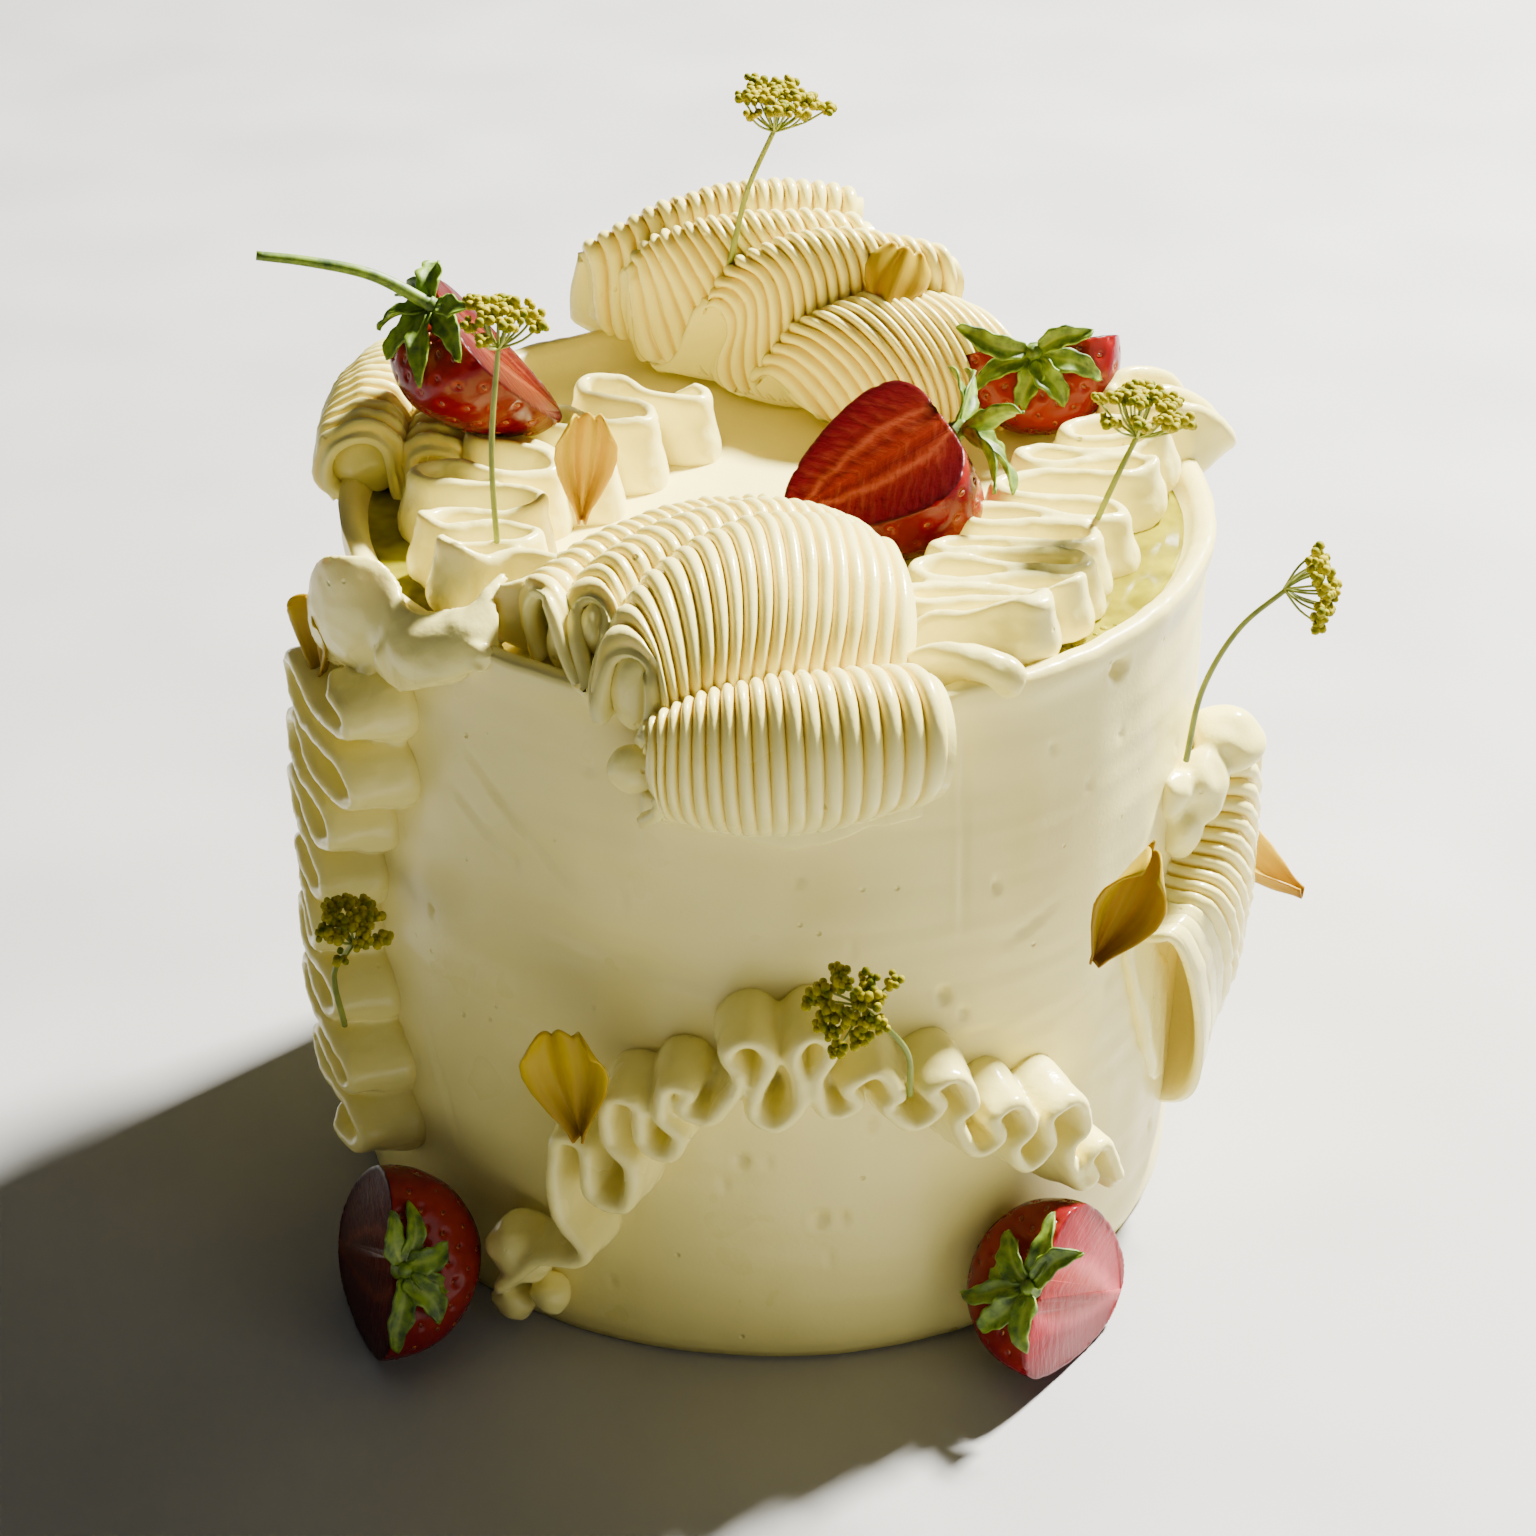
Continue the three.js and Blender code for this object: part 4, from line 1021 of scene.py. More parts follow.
def smooth_path(nodes, spacing):
    """Even steps along a centripetal Catmull-Rom curve through the nodes."""
    padded = np.concatenate([[2 * nodes[0] - nodes[1]], nodes, [2 * nodes[-1] - nodes[-2]]])
    steps = []
    for p0, p1, p2, p3 in zip(padded, padded[1:], padded[2:], padded[3:]):
        k1 = max(np.linalg.norm(p1 - p0), 1e-6) ** 0.5
        k2 = k1 + max(np.linalg.norm(p2 - p1), 1e-6) ** 0.5
        k3 = k2 + max(np.linalg.norm(p3 - p2), 1e-6) ** 0.5
        t = np.linspace(k1, k2, 40, endpoint=False)[:, None]
        middle = blend(t, k1, k2, p1, p2)
        before = blend(t, 0, k2, blend(t, 0, k1, p0, p1), middle)
        after = blend(t, k1, k3, middle, blend(t, k2, k3, p2, p3))
        steps.append(blend(t, k1, k2, before, after))
    curve = np.concatenate(steps + [nodes[-1:]])
    return even_line(curve, max(int(lengths_along(curve)[-1] / spacing), 8))


def ruffle_wall(name, place, turns, foot, edge, height, share, limit, seed, low_start=0.0):
    """The swept wall of one ruffle, before it is fused. It may start low, as a lying rope."""
    path = smooth_path(lobe_nodes(turns, share, limit), STATION)
    along = unit(np.gradient(path, axis=0))
    side = np.stack([-along[:, 1], along[:, 0]], axis=1)
    travel = np.arange(len(path)) * STATION
    blunt = 4.0 if low_start else 0.0
    taper = np.minimum(1, 0.35 + np.minimum(travel + blunt, travel[::-1]) / END_TAPER)
    sway = np.array([noise.noise(Vector((s / 11.0, seed * 3.3, 0))) for s in travel])
    lift = np.array([noise.noise(Vector((s / 16.0, seed * 5.7, 4))) for s in travel])
    lying = 1 - smooth_share(travel, low_start, low_start + ROPE_FADE) if low_start else 0 * travel
    rings = np.empty((len(path), len(WALL_SECTION), 3))
    for column, (reach, level) in enumerate(WALL_SECTION):
        narrow = smooth_share(level, 0.15, 0.85)
        half = (foot / 2) * (1 - narrow) + (edge / 2) * narrow * 2.2
        rounded = math.copysign(max(0, 1 - min(level, 1) ** 4) ** 0.5, reach) if reach else 0
        offset = (half * reach * (1 - lying) + ROPE_RADIUS * rounded * lying) * taper
        offset = offset + sway * 1.5 * level ** 2
        full = height * (1 - 0.45 * lying) * (1 + 0.09 * lift)
        n = full * level * (0.55 + 0.45 * taper) - SUNK * (1 - level)
        rings[:, column] = place(path[:, 0] + side[:, 0] * offset, path[:, 1] + side[:, 1] * offset, n)
    return rolled_grid(name, rings)


def leaning_sheet(name, edge, foot, thickness, bulge, seed):
    """A sheet of cream between a line along its free edge and a line along its foot."""
    top = even_line(smooth_path(np.array(edge, float), STATION), SHEET_STATIONS)
    low = even_line(smooth_path(np.array(foot, float), STATION), SHEET_STATIONS)
    along = unit(np.gradient(top + low, axis=0))
    rings = []
    for station in range(SHEET_STATIONS):
        rise = top[station] - low[station]
        out = unit(np.cross(along[station], rise))
        if out.dot(low[station] * (1, 1, 0)) < 0:
            out = -out
        ripple = 0.8 * noise.noise(Vector((station * 0.12, seed * 2.9, 0)))
        share = np.linspace(0, 1, 10)[:, None]
        belly = out * (bulge + ripple) * np.sin(share * math.pi) ** 0.8
        half = thickness / 2 * (1.35 - 0.5 * share)
        spine = low[station] + rise * share + belly
        outer, inner = spine + out * half, spine - out * half
        crown = spine[-1:] + unit(rise) * half[-1]
        rings.append(np.concatenate([outer, crown, inner[::-1]]))
    return rolled_grid(name, np.array(rings))


def roughen(piece, size, depth, seed):
    """Moves the skin in and out by smooth noise."""
    places = points_of(piece)
    move_points(piece, places + normals_of(piece) * (depth * churn(places, size, seed))[:, None])


print("wall section points", len(WALL_SECTION))

# %% [markdown]
# The left ruffle on top is the most open one: a thin wall, standing high in wide loops. Its end
# hangs over the rim as a leaning sheet with a few round lobes and crumbs. The right one was piped
# tighter, in long hairpins that lie side by side, and starts as a rope that lies on the rim.

# %% Ruffles on top
LEFT_TOP_TURNS = [
    (-22, 34), (-16, 24), (-40, 31), (-26, 11), (-50, 17), (-34, -3), (-60, 6), (-44, -10),
    (-71, -11), (-46, -24), (-67, -33), (-45, -38), (-62, -47), (-40, -50), (-51, -59),
]
RIGHT_TOP_TURNS = [
    (44, -74.5), (22.5, -66), (49, -61.5), (23, -54.5), (56, -52), (26, -45.5), (59, -41.5),
    (30, -35), (61, -31), (36, -22), (67, -21), (43, -8), (74, 0), (48, 5), (77, 10), (58, 18),
    (84, 23), (68, 32), (82, 40),
]
APRON_EDGE = [
    (-50.5, -54.5, 158.5), (-53, -58, 157.5), (-56, -60.5, 155), (-61.5, -57.5, 152),
    (-66.5, -57, 150.8), (-70, -52.5, 151.5), (-72, -48, 154.5), (-75.5, -46.5, 157),
    (-81.5, -46, 157), (-86, -41, 153.5), (-88.5, -37.5, 145), (-88, -37, 138),
]
APRON_FOOT = [
    (-51.5, -60, 147), (-54, -64, 145.5), (-57.5, -66.5, 144), (-61, -65.5, 142),
    (-64.5, -61.5, 139), (-69, -55, 135), (-70.5, -49.5, 135), (-73, -47, 135),
    (-77, -45.5, 134), (-81, -39, 132), (-83, -34, 130), (-83.5, -31, 128),
]
CRUMBS = [
    (-54.5, -66, 1.8, 2.4), (-56, -64.5, 2.8, 1.9), (-52.5, -67.5, 1.2, 1.9), (-54.5, -68.5, 0.8, 1.6),
]
LOBES = [(-52.5, 142, 2.4, 6.4, 5.6), (-58.5, 130.5, 2.4, 5.4, 8.0), (-65.5, 137.5, 3.4, 6.4, 8.6)]
LOBE_SLIMNESS = 0.7
LEFT_TOP_WALL = {"foot": 7.0, "edge": 3.2, "height": 14.2, "share": 0.31, "limit": 7.0, "seed": 11}
RIGHT_TOP_WALL = {"foot": 7.8, "edge": 3.4, "height": 12.0, "share": 0.31, "limit": 6.0, "seed": 12,
                  "low_start": 22.0}

left_top = ruffle_wall("ruffle_left_top", drape, LEFT_TOP_TURNS, **LEFT_TOP_WALL)
apron = leaning_sheet("apron", APRON_EDGE, APRON_FOOT, thickness=3.4, bulge=2.6, seed=3)
crumbs = [cream_lump("crumb", drape(x, y, n), (size, size, size * 0.9), 5 + x, 1.0)
          for x, y, n, size in CRUMBS]
lobes = [cream_lump("lobe", on_wall_point(azimuth, height, n),
                    (wide * LOBE_SLIMNESS, wide * LOBE_SLIMNESS, tall), 70 + azimuth, 0.9)
         for azimuth, height, n, wide, tall in LOBES]
left_top = fuse(join_pieces("ruffle_left_top", [left_top, apron] + crumbs + lobes), VOXEL, 3)
right_top = fuse(ruffle_wall("ruffle_right_top", drape, RIGHT_TOP_TURNS, **RIGHT_TOP_WALL), VOXEL, 2)

# %% [markdown]
# On the side, one ruffle climbs and falls in an arch above the two strawberries at the foot, and
# another runs down on the left. The arch starts in round drops, where the bag was first pressed.

# %% Ruffles on the side
ARCH_TURNS = on_side(
    (-34, 10), (-21, 30), (-24, 56), (-16, 44), (-17, 69), (-11, 58), (-11, 74), (-6, 67), (-2, 86),
    (1, 66), (5, 87), (7, 69), (12, 78), (16, 64), (21, 74), (24, 55), (29, 64), (31, 48), (37, 60),
    (39, 37), (42, 45), (46, 29),
)
SIDE_TURNS = on_side(
    (-62, 133), (-54, 127), (-75, 123), (-54, 113), (-77, 109), (-60, 98), (-79, 94), (-64, 83),
    (-78, 79), (-66, 69), (-77, 65), (-62, 56), (-75, 52), (-58, 43), (-71, 39), (-56, 30), (-67, 26),
)
DROPS = [(-31, 22, 7.2), (-33.5, 6.0, 4.6), (-28, 10.5, 4.2)]
ARCH_WALL = {"foot": 6.4, "edge": 3.0, "height": 13.0, "share": 0.34, "limit": 7.0, "seed": 13}
SIDE_WALL = {"foot": 8.8, "edge": 3.6, "height": 12.8, "share": 0.31, "limit": 6.6, "seed": 14}

arch_wall = ruffle_wall("ruffle_arch", wrap, ARCH_TURNS, **ARCH_WALL)
drops = [cream_lump("drop", on_wall_point(azimuth, height, radius * 0.8), (radius, radius, radius), 7, 0.5)
         for azimuth, height, radius in DROPS]
arch = fuse(join_pieces("ruffle_arch", [arch_wall] + drops), VOXEL, 2)
side = fuse(ruffle_wall("ruffle_side", wrap, SIDE_TURNS, **SIDE_WALL), VOXEL, 3)
print("turns of the arch", len(ARCH_TURNS), "and of the side", len(SIDE_TURNS))

# %% [markdown]
# All the cream is in place now, so its folds can be measured for the painted fold shade, each piece
# against all others, and the cake gets painted shade where the piped cream stands on it. The
# ruffles also get the fine unevenness of cream that was churned by hand.

# %% Finish of all the cream
ROUGH_SIZE = 3.0
ROUGH_DEPTH = 0.22
ribbons = {
    "ribbed_front": front_ribbon, "ribbed_back": back_ribbon,
    "ribbed_left": left_ribbon, "ribbed_right": right_ribbon,
}
ruffles = {
    "ruffle_left_top": left_top, "ruffle_right_top": right_top,
    "ruffle_arch": arch, "ruffle_side": side,
}
for seed, ruffle in enumerate(ruffles.values()):
    roughen(ruffle, ROUGH_SIZE, ROUGH_DEPTH, 20 + seed)
piped = [*ruffles.values(), *ribbons.values()]
# painted shade in the folds of the piped cream, and on the cake around the feet of the pieces
paint_fold_shade(piped, [cake], open_count=1.1, deep_count=3.4)
paint_fold_shade([cake], piped, open_count=1.6, deep_count=4.0)
for node, piece in (ribbons | ruffles).items():
    piece.data.materials.append(piped_cream)
    hand_over(piece, node)

# %% [markdown]
# ## Halved strawberries
# A strawberry is a rounded cone, so it starts as a sphere whose rings are pulled to the outline of
# the fruit. Each seed sits in its own dimple, and both are spread by the golden angle, as on the
# plant. Then the fruit is cut along its length with a bisect, which also closes the cut. Each point
# keeps its place in the fruit's own frame in an attribute, so that the pattern of the flesh follows
# the fruit however it lies.

# %% Strawberry shape
BERRY_LENGTH = 37.0
BERRY_RADIUS = 17.0
BERRY_OUTLINE = [
    (0, 0), (0.2, 0.018), (0.4, 0.08), (0.66, 0.25), (0.87, 0.47), (0.985, 0.66), (1, 0.77), (0.9, 0.9),
    (0.66, 0.975), (0.35, 1.0), (0.1, 0.985), (0, 0.98),
]
BERRY_MIDDLE = np.array([0, 0, -0.42 * BERRY_LENGTH])
SEED_COUNT = 150
DIMPLE_RADIUS = 1.25
DIMPLE_DEPTH = 0.55
GOLDEN_ANGLE = math.pi * (3 - math.sqrt(5))
HALO_RADIUS = 0.8
BERRY_PLACE = "berry_place"


def outline_at(share):
    """Radius share and length share of the fruit's outline, at shares along the outline."""
    outline = np.array(BERRY_OUTLINE, float) * (BERRY_RADIUS, BERRY_LENGTH)
    fine = smooth_path(outline, 0.25)
    along = np.linspace(0, 1, len(fine))
    radius = np.maximum(np.interp(share, along, fine[:, 0]), 0)
    return radius / BERRY_RADIUS, np.interp(share, along, fine[:, 1]) / BERRY_LENGTH


def on_berry(turn, share, radius):
    """Places on the fruit in its own frame, from a turn and a share along its outline."""
    reach, level = outline_at(share)
    return np.stack([reach * radius * np.cos(turn), reach * radius * np.sin(turn),
                     (level - 1) * BERRY_LENGTH], axis=1)


def berry_frame(hub, axis, face):
    """Columns of the fruit's own frame: out of the cut, across it, and out of the stem end."""
    z = unit(np.array(axis, float))
    x = np.array(face, float)
    x = unit(x - x.dot(z) * z)
    return np.stack([x, np.cross(z, x), z], axis=1), np.array(hub, float)


def whole_berry(name, radius):
    """The whole fruit in its own frame, with its dimples, and the places of its seeds."""
    bpy.ops.mesh.primitive_uv_sphere_add(segments=176, ring_count=130, radius=1)
    berry = bpy.context.object
    berry.name = name
    ball = points_of(berry) * MM
    polar = np.arccos(np.clip(-ball[:, 2], -1, 1)) / math.pi
    places = on_berry(np.arctan2(ball[:, 1], ball[:, 0]), polar, radius)
    index = np.arange(SEED_COUNT)
    seed_share = 0.05 + 0.87 * np.sqrt((index + 0.5) / SEED_COUNT) ** 1.15
    seeds = on_berry(index * GOLDEN_ANGLE, seed_share, radius)
    inward = unit(BERRY_MIDDLE - places)
    halo = np.zeros(len(places))
    for seed in seeds:
        far = np.linalg.norm(places - seed, axis=1)
        near = far < 2 * DIMPLE_RADIUS
        depth = DIMPLE_DEPTH * np.exp(-(far[near] / (0.62 * DIMPLE_RADIUS)) ** 2)
        places[near] += inward[near] * depth[:, None]
        halo[near] += 0.35 * np.exp(-((far[near] - HALO_RADIUS) / 0.35) ** 2)
    places += inward * (0.5 * churn(places, 9.0, 3))[:, None]
    move_points(berry, places)
    keep_values(berry, "seed_halo", np.minimum(halo, 0.6))
    return berry, seeds


def cut_berry(berry, cut):
    """Cuts the fruit along its length and rounds the rim of the cut."""
    bpy.ops.object.mode_set(mode="EDIT")
    bpy.ops.mesh.select_all(action="SELECT")
    bpy.ops.mesh.bisect(plane_co=(cut * MM, 0, 0), plane_no=(1, 0, 0), use_fill=True, clear_outer=True)
    bpy.ops.mesh.select_mode(type="FACE")
    bpy.ops.mesh.select_all(action="DESELECT")
    bpy.ops.object.mode_set(mode="OBJECT")
    for face in berry.data.polygons:
        face.select = face.normal.x > 0.999 and face.loop_total > 8
        face.material_index = 1 if face.select else 0
    bpy.ops.object.mode_set(mode="EDIT")
    bpy.ops.mesh.inset(thickness=0.35 * MM, depth=0.16 * MM, use_even_offset=False)
    bpy.ops.mesh.inset(thickness=0.5 * MM, depth=0.10 * MM, use_even_offset=False)
    bpy.ops.mesh.select_all(action="DESELECT")
    bpy.ops.object.mode_set(mode="OBJECT")


def keep_berry_place(piece, radius):
    """Stores each point's place in the fruit: shares of radius, and share of length from the tip."""
    places = points_of(piece)
    shares = [places[:, 0] / radius, places[:, 1] / radius, 1 + places[:, 2] / BERRY_LENGTH]
    keep_places(piece, BERRY_PLACE, np.stack(shares, axis=1))


def into_frame(piece, berry_axes):
    """Moves a piece from the fruit's own frame to its place on the cake."""
    axes, hub = berry_axes
    move_points(piece, points_of(piece) @ axes.T + hub)


print("seeds per fruit", SEED_COUNT)

# %% [markdown]
# ## Strawberry finishes
# Ripe skin is deep red and glossy, with a faint light ring around each dimple, and paler under the
# cap. The cut flesh is wet but softer in its gloss. From the middle outwards it shows a fibrous
# orange-red core, a pale ring of vessels around it, and fine pale vessels that run slantwise from
# the ring to the skin. The pattern is computed from the place in the fruit. The flesh comes in two
# copies. A dark one carries painted shade for the cut faces that lie in shade. A paler, pinker one
# carries painted sunlight for the cut face in the sun, and its pale ring is also wider. The seeds
# are dry and a little shiny: a reddish brown back inside a pale straw rim.

# %% Strawberry finishes
BLOTCH_SIZE = 6
SKIN_BUMPS = 1.1
RIPPLE_SIZE = 3.2
STREAK_STRETCH = (24.0, 3.4, 1.0)
SEED_SPOTS = 0.8


def make_skin():
    """Ripe skin: deep red, glossy, paler under the cap."""
    finish, tree, shader, place = new_finish("ripe_strawberry_skin")
    inside = add_node(tree, "Attribute", attribute_name=BERRY_PLACE)
    parts = add_node(tree, "SeparateXYZ", links={"Vector": inside.outputs["Vector"]})
    blotch = add_node(tree, "TexNoise", {"Scale": per_mm(BLOTCH_SIZE), "Detail": 4.0}, {"Vector": place})
    shift = add_node(tree, "Math", {1: 0.22, 2: -0.11}, {0: blotch.outputs["Fac"]},
                     operation="MULTIPLY_ADD")
    tone = add_node(tree, "Math", links={0: parts.outputs["Z"], 1: shift.outputs[0]}, operation="ADD")
    colour = add_node(tree, "ValToRGB", links={"Fac": tone.outputs[0]})
    set_ramp(colour, [(0.1, "#4a000a"), (0.55, "#5c0010"), (0.86, "#660212"), (1.0, "#8a2418")])
    halo = add_node(tree, "Attribute", attribute_name="seed_halo")
    ringed = add_node(tree, "Mix", {7: linear("#8c1c10")},
                      {"Factor": halo.outputs["Fac"], 6: colour.outputs["Color"]}, data_type="RGBA")
    bumps = add_node(tree, "TexNoise", {"Scale": per_mm(SKIN_BUMPS), "Detail": 2.0}, {"Vector": place})
    bump = add_node(tree, "Bump", {"Strength": 0.3, "Distance": 0.25 * MM},
                    {"Height": bumps.outputs["Fac"]})
    fill_sockets(shader, {"Roughness": 0.2, "IOR": 1.42, "Specular IOR Level": 0.25,
                          "Subsurface Weight": 0.06, "Subsurface Radius": (1.0, 0.06, 0.04),
                          "Subsurface Scale": 2.0 * MM},
                 {"Base Color": ringed.outputs[2], "Normal": bump.outputs["Normal"]})
    return finish


CORE_WIDTH = [(0.0, 0.02), (0.14, 0.05), (0.35, 0.22), (0.6, 0.33), (0.85, 0.33), (1.0, 0.2)]
SKIN_WIDTH = [(0.0, 0.0), (0.018, 0.2), (0.08, 0.4), (0.25, 0.66), (0.47, 0.87), (0.66, 0.985),
              (0.77, 1.0), (0.9, 0.9), (1.0, 0.5)]


def set_curve(node, stops):
    """Puts (place, value) stops on a float curve."""
    points = node.mapping.curves[0].points
    while len(points) < len(stops):
        points.new(0.5, 0.5)
    for point, (at, value) in zip(points, stops):
        point.location = (at, value)
    node.mapping.update()


def make_flesh(name, flesh_stops, heart_stops, pale, vessel_share, ring_share, ring_width):
    """Cut flesh: core, pale ring of vessels, slanting vessels, red border."""
    finish, tree, shader, place = new_finish(name)
    inside = add_node(tree, "Attribute", attribute_name=BERRY_PLACE)
    parts = add_node(tree, "SeparateXYZ", links={"Vector": inside.outputs["Vector"]})
    ripple = add_node(tree, "TexNoise", {"Scale": per_mm(RIPPLE_SIZE), "Detail": 3.0}, {"Vector": place})
    bend = add_node(tree, "Math", {1: 0.14, 2: -0.07}, {0: ripple.outputs["Fac"]},
                    operation="MULTIPLY_ADD")
    across = add_node(tree, "Math", links={0: parts.outputs["Y"]}, operation="ABSOLUTE")
    bent = add_node(tree, "Math", links={0: across.outputs[0], 1: bend.outputs[0]}, operation="ADD")
    core = add_node(tree, "FloatCurve", links={"Value": parts.outputs["Z"]})
    set_curve(core, CORE_WIDTH)
    skin = add_node(tree, "FloatCurve", links={"Value": parts.outputs["Z"]})
    set_curve(skin, SKIN_WIDTH)
    share = add_node(tree, "MapRange", {3: 0.0, 4: 1.0},
                     {0: bent.outputs[0], 1: core.outputs[0], 2: skin.outputs[0]})
    inner = add_node(tree, "Math", links={0: bent.outputs[0], 1: core.outputs[0]}, operation="DIVIDE")
    base = add_node(tree, "ValToRGB", links={"Fac": share.outputs[0]})
    set_ramp(base, flesh_stops)
    heart = add_node(tree, "ValToRGB", links={"Fac": inner.outputs[0]})
    set_ramp(heart, heart_stops)
    is_heart = add_node(tree, "MapRange", {1: 0.9, 2: 1.1, 3: 1.0, 4: 0.0}, {0: inner.outputs[0]})
    mixed = add_node(tree, "Mix", None, {"Factor": is_heart.outputs[0], 6: base.outputs["Color"],
                                         7: heart.outputs["Color"]}, data_type="RGBA")
    slant = add_node(tree, "Math", {1: 0.30}, {0: bent.outputs[0], 2: parts.outputs["Z"]},
                     operation="MULTIPLY_ADD")
    streak_place = add_node(tree, "CombineXYZ", links={"X": slant.outputs[0], "Y": parts.outputs["Y"]})
    stretch = add_node(tree, "Mapping", {"Scale": STREAK_STRETCH}, {"Vector": streak_place.outputs[0]})
    streaks = add_node(tree, "TexNoise", {"Scale": 1.0, "Detail": 3.0}, {"Vector": stretch.outputs[0]})
    vessel = add_node(tree, "MapRange", {1: 0.5, 2: 0.75, 3: 0.0, 4: vessel_share},
                      {0: streaks.outputs["Fac"]})
    fading = add_node(tree, "MapRange", {1: 0.05, 2: 0.9, 3: 1.0, 4: 0.2}, {0: share.outputs[0]})
    vessels = add_node(tree, "Math", None, {0: vessel.outputs[0], 1: fading.outputs[0]},
                       operation="MULTIPLY")
    veined = add_node(tree, "Mix", {7: linear(pale)},
                      {"Factor": vessels.outputs[0], 6: mixed.outputs[2]}, data_type="RGBA")
    off_ring = add_node(tree, "Math", None, {0: bent.outputs[0], 1: core.outputs[0]},
                        operation="SUBTRACT")
    ring_gap = add_node(tree, "Math", None, {0: off_ring.outputs[0]}, operation="ABSOLUTE")
    ring = add_node(tree, "MapRange", {1: 0.01, 2: ring_width, 3: ring_share, 4: 0.0},
                    {0: ring_gap.outputs[0]})
    ringed = add_node(tree, "Mix", {7: linear(pale)},
                      {"Factor": ring.outputs[0], 6: veined.outputs[2]}, data_type="RGBA")
    height = add_node(tree, "Math", None, {0: streaks.outputs["Fac"], 1: ripple.outputs["Fac"]},
                      operation="ADD")
    bump = add_node(tree, "Bump", {"Strength": 0.45, "Distance": 0.4 * MM},
                    {"Height": height.outputs[0]})
    fill_sockets(shader, {"Roughness": 0.34, "Specular IOR Level": 0.15, "Subsurface Weight": 0.1,
                          "Subsurface Radius": (1.0, 0.2, 0.12), "Subsurface Scale": 2.5 * MM},
                 {"Base Color": ringed.outputs[2], "Normal": bump.outputs["Normal"]})
    return finish


def make_seed():
    """Strawberry seeds: a reddish brown back inside a pale straw rim."""
    finish, tree, shader, place = new_finish("straw_brown_seed")
    spots = add_node(tree, "TexNoise", {"Scale": per_mm(SEED_SPOTS)}, {"Vector": place})
    back = add_node(tree, "Attribute", attribute_name="seed_back")
    tone = add_node(tree, "Math", {1: 0.3}, {0: spots.outputs["Fac"], 2: back.outputs["Fac"]},
                    operation="MULTIPLY_ADD")
    colour = add_node(tree, "ValToRGB", links={"Fac": tone.outputs[0]})
    set_ramp(colour, [(0.25, "#c08030"), (0.6, "#963c12"), (1.0, "#5c100a")])
    fill_sockets(shader, {"Roughness": 0.35}, {"Base Color": colour.outputs["Color"]})
    return finish


# Two copies of the cut flesh. The darker tones are painted shade for the faces that lie in shade. The
# paler, pinker tones are painted sunlight for the face in the sun.
FLESH_IN_SHADE = [(0.0, "#581006"), (0.3, "#4c0607"), (0.75, "#460207"), (1.0, "#340004")]
HEART_IN_SHADE = [(0.0, "#641805"), (0.5, "#4c0a05"), (0.85, "#641c0a")]
FLESH_IN_SUN = [(0.0, "#b02030"), (0.3, "#9c0a20"), (0.75, "#8c0418"), (1.0, "#66010c")]
HEART_IN_SUN = [(0.0, "#8c0608"), (0.4, "#9c1a10"), (0.85, "#ac3428")]
berry_skin, berry_seed = make_skin(), make_seed()
VESSELS_IN_SHADE = {"pale": "#8c4424", "vessel_share": 0.24, "ring_share": 0.32, "ring_width": 0.07}
VESSELS_IN_SUN = {"pale": "#d85a62", "vessel_share": 0.16, "ring_share": 0.60, "ring_width": 0.15}
flesh_painted_shade = make_flesh("cut_strawberry_flesh_painted_shade", FLESH_IN_SHADE, HEART_IN_SHADE, **VESSELS_IN_SHADE)
flesh_painted_sunlight = make_flesh("cut_strawberry_flesh_painted_sunlight", FLESH_IN_SUN, HEART_IN_SUN, **VESSELS_IN_SUN)
print(berry_skin.name, flesh_painted_shade.name, flesh_painted_sunlight.name, berry_seed.name)

# %% [markdown]
# Five half strawberries: three lie in the cream on top, and two stand against the foot of the cake.
# For each one, the hub is its stem end, axis points out of the stem end, and face is the way in
# which the cut looks. One tiny seed is modelled, and each fruit gets copies of it in its dimples.

# %% Five half strawberries
STRAWBERRIES = {
    "front": {"hub": (34, -10, 168.5), "axis": (0.837, 0.237, 0.496), "face": (-0.372, -0.338, 0.861),
              "girth": 1.12, "cut": 4.5},
    "right": {"hub": (52.4, 33, 166.6), "axis": (-0.148, -0.895, 0.412), "face": (-0.147, 0.396, 0.902)},
    "left": {"hub": (-66.8, 4, 186.3), "axis": (-0.588, -0.314, 0.744), "face": (0.743, 0.147, 0.649)},
    "lower_left": {"hub": (-71, -90, 24.2), "axis": (0.4, -0.788, 0.475), "face": (-0.92, -0.352, 0.19),
                   "girth": 1.14},
    "lower_right": {"hub": (52.5, -93.5, 24.9), "axis": (-0.51, -0.66, 0.55), "face": (0.82, -0.57, 0.08),
                    "girth": 1.06},
}
SEED_SIZE = (0.46, 0.34, 0.82)
SEED_RISE = 0.10
SEED_CLEARANCE = 0.8


def seed_piece(seeds, cut):
    """All seeds of the kept half, each a small ball drawn out along the fruit."""
    bpy.ops.mesh.primitive_uv_sphere_add(segments=8, ring_count=6, radius=1)
    pattern = bpy.context.object
    ball = points_of(pattern) * MM
    keep_values(pattern, "seed_back", np.maximum(ball[:, 1], 0))
    copies = []
    for seed in seeds[seeds[:, 0] <= cut - SEED_CLEARANCE]:
        out = unit(seed - BERRY_MIDDLE)
        down = unit(np.array([0, 0, -1.0]) - out * out.dot([0, 0, -1.0]))
        axes = np.stack([np.cross(out, down), out, down], axis=1)
        copy = pattern.copy()
        copy.data = pattern.data.copy()
        bpy.context.collection.objects.link(copy)
        move_points(copy, ball * SEED_SIZE @ axes.T + seed - out * (DIMPLE_DEPTH - SEED_RISE))
        copies.append(copy)
    bpy.data.objects.remove(pattern)
    return join_pieces("seeds", copies)


